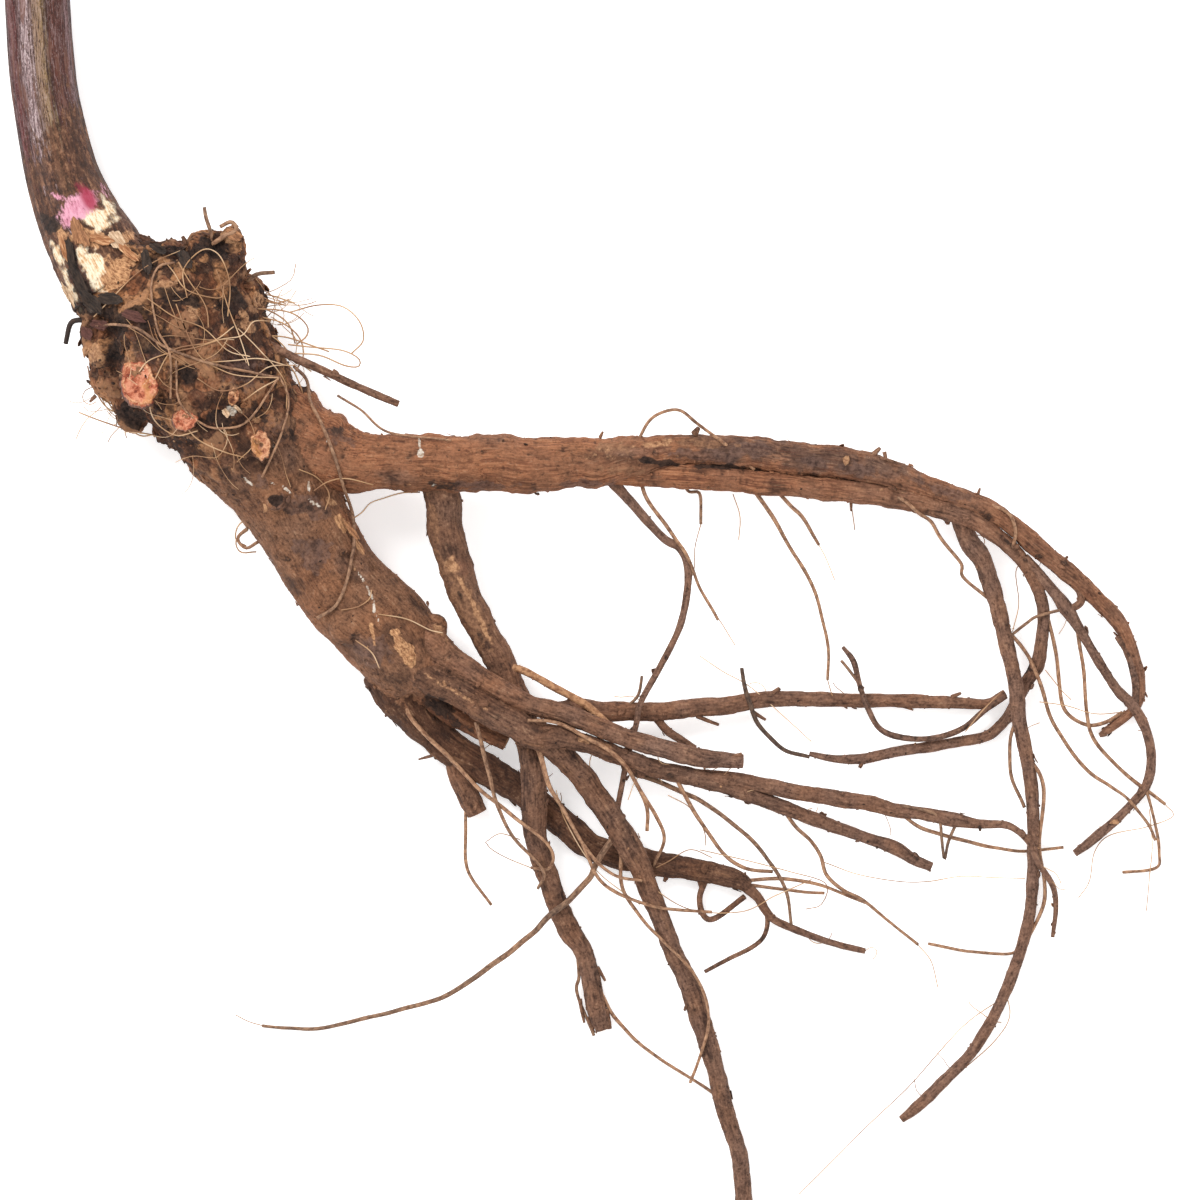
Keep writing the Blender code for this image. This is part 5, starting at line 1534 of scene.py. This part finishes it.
def stem_look():
    """The stem's streaked skin, the soil on its foot and the living skin at its base."""
    look = Look("stem_skin", 0.65, 0.2)
    streak = look.strands(0.03, 1.4, 4, 0.62)
    fine = look.strands(0.06, 4.6, 4, 0.62)
    speck = look.strands(0.45, 3.2, 4, 0.7)
    wide = look.strands(0.12, 0.5, 3, 0.6)
    across = look.plus(look.mask("cross"), look.around(streak, 0.55))
    across = look.plus(look.times(across, 0.5), 0.5)
    colour = look.tones(across, *STEM_TONES)
    lilac = look.between(look.calc("ABSOLUTE", look.plus(across, -LILAC_AT)), 0.12, 0.03)
    lit = look.plus(look.times(lilac, 0.62), 0.2)
    streaks = (
        (fine, 0.52, 0.60, lit, (188, 168, 168)), (fine, 0.47, 0.40, 0.85, (50, 32, 31)),
        (speck, 0.55, 0.63, lit, (200, 180, 178)), (speck, 0.45, 0.38, 0.8, (54, 37, 34)),
        (wide, 0.54, 0.62, 0.6, (110, 72, 58)),
    )
    for noise, low, high, cover, shade in streaks:
        colour = look.lay(colour, look.between(noise, low, high), cover, shade)
    clod = look.strands(0.45, 0.9, 9, 0.76)
    dust = look.speckle(1500, 3, 0.7)
    grit = look.plus(look.times(clod, 0.76), look.times(dust, 0.24))
    soil = look.tones(
        grit, (0.40, 28, 18, 14), (0.47, 70, 45, 33), (0.53, 100, 67, 49), (0.6, 146, 106, 80))
    soil = look.lay(soil, look.between(streak, 0.52, 0.6), 0.4, (112, 76, 58))
    soil = look.lay(soil, look.between(wide, 0.50, 0.44), 0.45, (58, 40, 31))
    patchy = look.around(look.strands(0.3, 0.8, 7, 0.72), 3.4)
    covered = look.between(look.plus(look.mask("crust"), patchy), 0.34, 0.62)
    colour = look.mix(look.times(covered, 0.92), colour, soil)
    ragged = look.speckle(480, 5, 0.68)
    colour = overlays(look, colour, ragged)
    colour = blush(look, colour, ragged)
    relief = look.plus(look.times(fine, 0.6), look.times(speck, 0.4))
    return look.done(colour, look.bump(relief, 0.0008, 0.7))


STEM_FOOT = (118, 287, 73, 50)      # the skin's last ring, inside the rhizome
STEM_STEP, STEM_SIDES = 1.8, 168
STEM_RADIUS = 6.5                   # mm, at the cut end


def make_stem(material):
    """The stem's stub, ribbed and streaked, with its crusted foot."""
    def ribs(local, radius):
        """Ribs and fine lines along the stem, and crumbs of soil from 38 to 62 mm on, at its foot."""
        ring = local[:, 1:] / radius[:, None]
        along = local[:, 0]
        rib = np.abs(grain(np.column_stack([along / 60, ring * 3.2]), 61))
        fine = grain(np.column_stack([along / 25, ring * 9]), 63)
        foot = soft_step(38, 62, along)
        crumb = layered(np.column_stack([along / 3.2, ring * radius[:, None] / 1.4]), 3, 65)
        return 0.45 * (rib - 0.3) * (1 - 0.5 * foot) + 0.08 * fine + (0.03 + 0.26 * foot) * crumb

    skin = Skin()
    tube = Tube([*STEM, STEM_FOOT], STEM_STEP, STEM_SIDES, ribs)
    along, side, up = tube.local.T
    masks = patch_masks(tube.points, tube.normals[:, 2])
    masks["cross"] = tube.normals[:, 0] * 0.96 + tube.normals[:, 1] * 0.28
    masks["crust"] = 0.95 * soft_step(20, 38, along + 6 * masks["cross"])
    raise_mask(masks, "crust", 0.36 * soft_step(8, 30, along) * (masks["cross"] > 0))
    raise_mask(masks, "cream", tube.base * soft_step(0.95, 0.7, np.hypot(side, up) / STEM_RADIUS))
    raise_mask(masks, "peel", tube.base * 0.9)
    skin.add(tube.points, tube.faces, masks, tube.local)
    TOP.add(tube.points)
    stem = skin.piece("stem_stub", material)
    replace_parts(stem, "stem")


# The woody roots that make one piece each.
GROUPS = {
    "upper_roots": ("upper_root", "lower_strand", "dark_strand"),
    "right_roots": ("crossing_root", "outer_root", "outer_twig", "hooked_root", "level_root", "level_twig"),
    "front_roots": (
        "front_root", "front_fork", "fork_tip", "fork_knob", "tan_root", "arched_root", "crown_root",
    ),
    "lower_roots": (
        "middle_root", "long_root", "under_root", "hidden_root", "broken_stub", "twisted_root",
        "twisted_loop", "twisted_tail",
    ),
}
WOODY_SEEDS = {name: number + 1 for number, name in enumerate(WOODY_ROOTS)}
GROOVE_SEED = 90
CRUMB_COUNT, FLAKE_COUNT = 2750, 380
CRUMB_SIZES, FLAKE_SIZES = (0.12, 0.38), (0.4, 1.2)     # mm, smallest and largest radius
SPUR_STEP, SPUR_SIDES, SPUR_WOBBLE = 1.0, 12, 0.4


def make_small_things(bark, body, normals, rough, body_masks, tubes):
    """Scars, papery scales, crumbs, flakes and broken twigs."""
    draw = np.random.default_rng(425)
    scars = Skin()
    for number, scar in enumerate(SCARS):
        add_scar(scars, number, *scar)
    scars.piece("stem_scars", scar_look())
    peels = Skin()
    for number, peel in enumerate(PEELS):
        add_peel(peels, number, *peel)
    peels.piece("papery_scales", paper_look())

    sides = [~tube.tip & ~tube.base for tube in tubes]
    root_points = np.vstack([tube.points[side] for tube, side in zip(tubes, sides)])
    root_normals = np.vstack([tube.normals[side] for tube, side in zip(tubes, sides)])
    places = np.vstack([body, root_points])
    facing = np.vstack([normals, root_normals])
    host = {}
    for name in MASKS:
        of_roots = [tube.masks.get(name, np.zeros(len(side)))[side] for tube, side in zip(tubes, sides)]
        host[name] = np.concatenate([body_masks[name], *of_roots])
    share = np.concatenate([0.25 + rough, np.full(len(root_points), 0.16)])
    share /= share.sum()
    bits = Skin()
    for scatter, count, sizes in (
            (scatter_crumbs, CRUMB_COUNT, CRUMB_SIZES), (scatter_flakes, FLAKE_COUNT, FLAKE_SIZES)):
        chosen = draw.choice(len(places), count, p=share)
        under = {name: values[chosen] for name, values in host.items()}
        scatter(bits, places[chosen], facing[chosen], draw.uniform(*sizes, count) * MM, under, draw)
    for number, (base, tip, radius) in enumerate(SPURS):
        middle = tuple((b + t) / 2 for b, t in zip(base, tip))
        route = [(*base, radius), (*middle, radius * 0.85), (*tip, radius * 0.6)]
        tube = Tube(route, SPUR_STEP, SPUR_SIDES, root_relief, SPUR_WOBBLE, number + 60)
        masks = {"high": 0.5 + tube.rise, "ash": np.full(len(tube.points), 0.4)}
        bits.add(tube.points, tube.faces, masks, tube.local)
    bits.piece("crumbs_and_flakes", bark)


ROOTLET_SIDES, ROOTLET_STEP = 9, 2.6
BARK_ROOTLET_SIZE = 0.72        # of the radius at the start of its route


def make_rootlets():
    """The rootlets, those on the bark laid on the made skins."""
    rootlets = Skin()
    for seed, (name, route) in enumerate(ROOTLETS.items()):
        add_rootlet(rootlets, route, TAN.get(name, PLAIN_TAN), seed, ROOTLET_SIDES, ROOTLET_STEP)
    for seed, (name, route) in enumerate(BARK_ROOTLETS.items()):
        radius = route[0][2] * BARK_ROOTLET_SIZE
        line = draped([point[:2] for point in route], BARK_LIFT)
        route = [(*point, radius) for point in line]
        add_rootlet(rootlets, route, TAN.get(name, PLAIN_TAN), seed + 100, ROOTLET_SIDES, ROOTLET_STEP)
    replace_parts(rootlets.piece("rootlets", rootlet_look()), "rootstock")


HAIR_SIDES, HAIR_STEP = 5, 3.5
CROWN_HAIR, ROOT_HAIR, BARK_HAIR = 0.8, 0.55, 0.62      # radii in plan units
LOOSE_HAIR = (0.3, 0.5)                                 # thinnest and thickest radius
ROUTES_WITH_HAIR = (
    "front_fork", "front_root", "level_root", "under_root", "fork_tip", "crossing_root", "upper_root",
    "lower_strand", "twisted_root", "outer_root",
)

# Wandering hairs at the crown's edges, each group by its ranges: right and down at the start, heading (its
# middle and spread, in radians), length, bend, and height at the start and at the end.
EDGE_HAIRS = (
    ((246, 280), (282, 392), (0.2, 0.4), (24, 64), 0.16, (70, 92), (60, 90)),
    ((96, 130), (380, 420), (1.2, 0.7), (15, 45), 0.25, (40, 60), (30, 50)),
)
LYING_COUNT, EDGE_COUNT, ROOT_COUNT = 34, 26, 60        # on the bark, in each edge group, on the roots


def make_hairs():
    """The fine hairs: those that can be told apart in the photograph, then seeded ones."""
    draw = np.random.default_rng(91)
    hairs = Skin()

    def add(route, radius):
        seed = int(draw.integers(1000))
        add_rootlet(hairs, [(*point, radius) for point in route], 1.0, seed, HAIR_SIDES, HAIR_STEP)

    def hang(path, first, last):
        """A hair in the air, whose height goes from first to last."""
        high = np.linspace(first, last, len(path))
        add([(*point, z) for point, z in zip(path, high)], draw.uniform(*LOOSE_HAIR))

    for route in CROWN_HAIRS:
        add(route, CROWN_HAIR)
    for route in ROOT_HAIRS:
        add(route, ROOT_HAIR)
    for route in BARK_HAIRS:
        add(draped(route, BARK_LIFT), BARK_HAIR)
    for _ in range(LYING_COUNT):
        start = (draw.uniform(110, 285), draw.uniform(270, 460))
        if TOP.at([start])[0] < 40:
            continue
        path = wandering(start, draw.normal(0.9, 0.7), draw.uniform(20, 80), 0.12, draw)
        add(draped(path, draw.uniform(0.6, 1.6)), draw.uniform(0.28, 0.45))
    for rights, downs, heading, length, bend, first, last in EDGE_HAIRS:
        for _ in range(EDGE_COUNT):
            start = (draw.uniform(*rights), draw.uniform(*downs))
            path = wandering(start, draw.normal(*heading), draw.uniform(*length), bend, draw)
            hang(path, draw.uniform(*first), draw.uniform(*last))
    for _ in range(ROOT_COUNT):
        name = ROUTES_WITH_HAIR[int(draw.integers(len(ROUTES_WITH_HAIR)))]
        run = smooth_run(WOODY_ROOTS[name], 4)
        spot = run[int(draw.integers(len(run)))]
        path = wandering(tuple(spot[:2]), draw.uniform(0, 2 * math.pi), draw.uniform(14, 44), 0.3, draw)
        hang(path, spot[2], max(3.0, spot[2] + draw.uniform(-14, 6)))
    hairs.piece("hairs", hair_look())


def main():
    """Makes the body first, then what is laid on it."""
    bark = bark_look()
    body, points, normals, rough, body_masks = make_body(bark)
    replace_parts(body, "rootstock")
    make_stem(stem_look())
    tubes = []
    for group, names in GROUPS.items():
        skin = Skin()
        for name in names:
            tubes.append(add_root(skin, name, WOODY_ROOTS[name], WOODY_SEEDS[name]))
        if group == "upper_roots":
            add_root(skin, "groove_floor", GROOVE_FLOOR, GROOVE_SEED)
        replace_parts(skin.piece(group, bark), "rootstock")
    make_small_things(bark, points, normals, rough, body_masks, tubes)
    make_rootlets()
    make_hairs()


FLOOR_SIZE, FLOOR_DROP = 40, 0.0002     # metres
SENSOR = 36                             # mm
FLOOR_GLOW, SKY_STRENGTH = 0.4, 0.95

# Disc lights that face the origin: (name, place, size, power).
LIGHTS = (("key", (-0.9, 1.1, 1.6), 0.9, 30.0), ("fill", (1.2, -0.6, 1.4), 1.4, 6.0))


def stage_and_light():
    """A pale floor, a long-lens camera straight above and soft studio light."""
    scene = bpy.context.scene
    bpy.ops.mesh.primitive_plane_add(size=FLOOR_SIZE, location=(0, 0, -FLOOR_DROP))
    floor = bpy.context.object
    floor.name = "floor"
    paper = Look("floor_paper", 0.9, 0.1)
    paper.shader.inputs["Emission Color"].default_value = (1, 1, 1, 1)
    paper.shader.inputs["Emission Strength"].default_value = FLOOR_GLOW
    floor.data.materials.append(paper.done(srgb(252, 252, 252)))

    lens = bpy.data.cameras.new("camera")
    lens.sensor_width = SENSOR
    lens.lens = SENSOR * (CAMERA_HEIGHT - VIEW_PLANE) / PLAN_WIDTH
    lens.clip_start, lens.clip_end = 0.1, 50
    camera = bpy.data.objects.new("camera", lens)
    middle = place([(*VIEW_MIDDLE, 0)])[0]
    camera.location = (middle[0], middle[1], CAMERA_HEIGHT)
    scene.collection.objects.link(camera)
    scene.camera = camera

    world = bpy.data.worlds.new("studio")
    world.use_nodes = True
    sky = world.node_tree.nodes["Background"]
    sky.inputs["Color"].default_value = (1, 1, 1, 1)
    sky.inputs["Strength"].default_value = SKY_STRENGTH
    scene.world = world
    for name, spot, size, power in LIGHTS:
        light = bpy.data.lights.new(name, "AREA")
        light.shape = "DISK"
        light.size = size
        light.energy = power
        lamp = bpy.data.objects.new(name, light)
        lamp.location = spot
        lamp.rotation_mode = "QUATERNION"
        lamp.rotation_quaternion = (-Vector(spot)).to_track_quat("-Z", "Y")
        scene.collection.objects.link(lamp)
    scene.view_settings.view_transform = "Standard"


stage_and_light()
main()
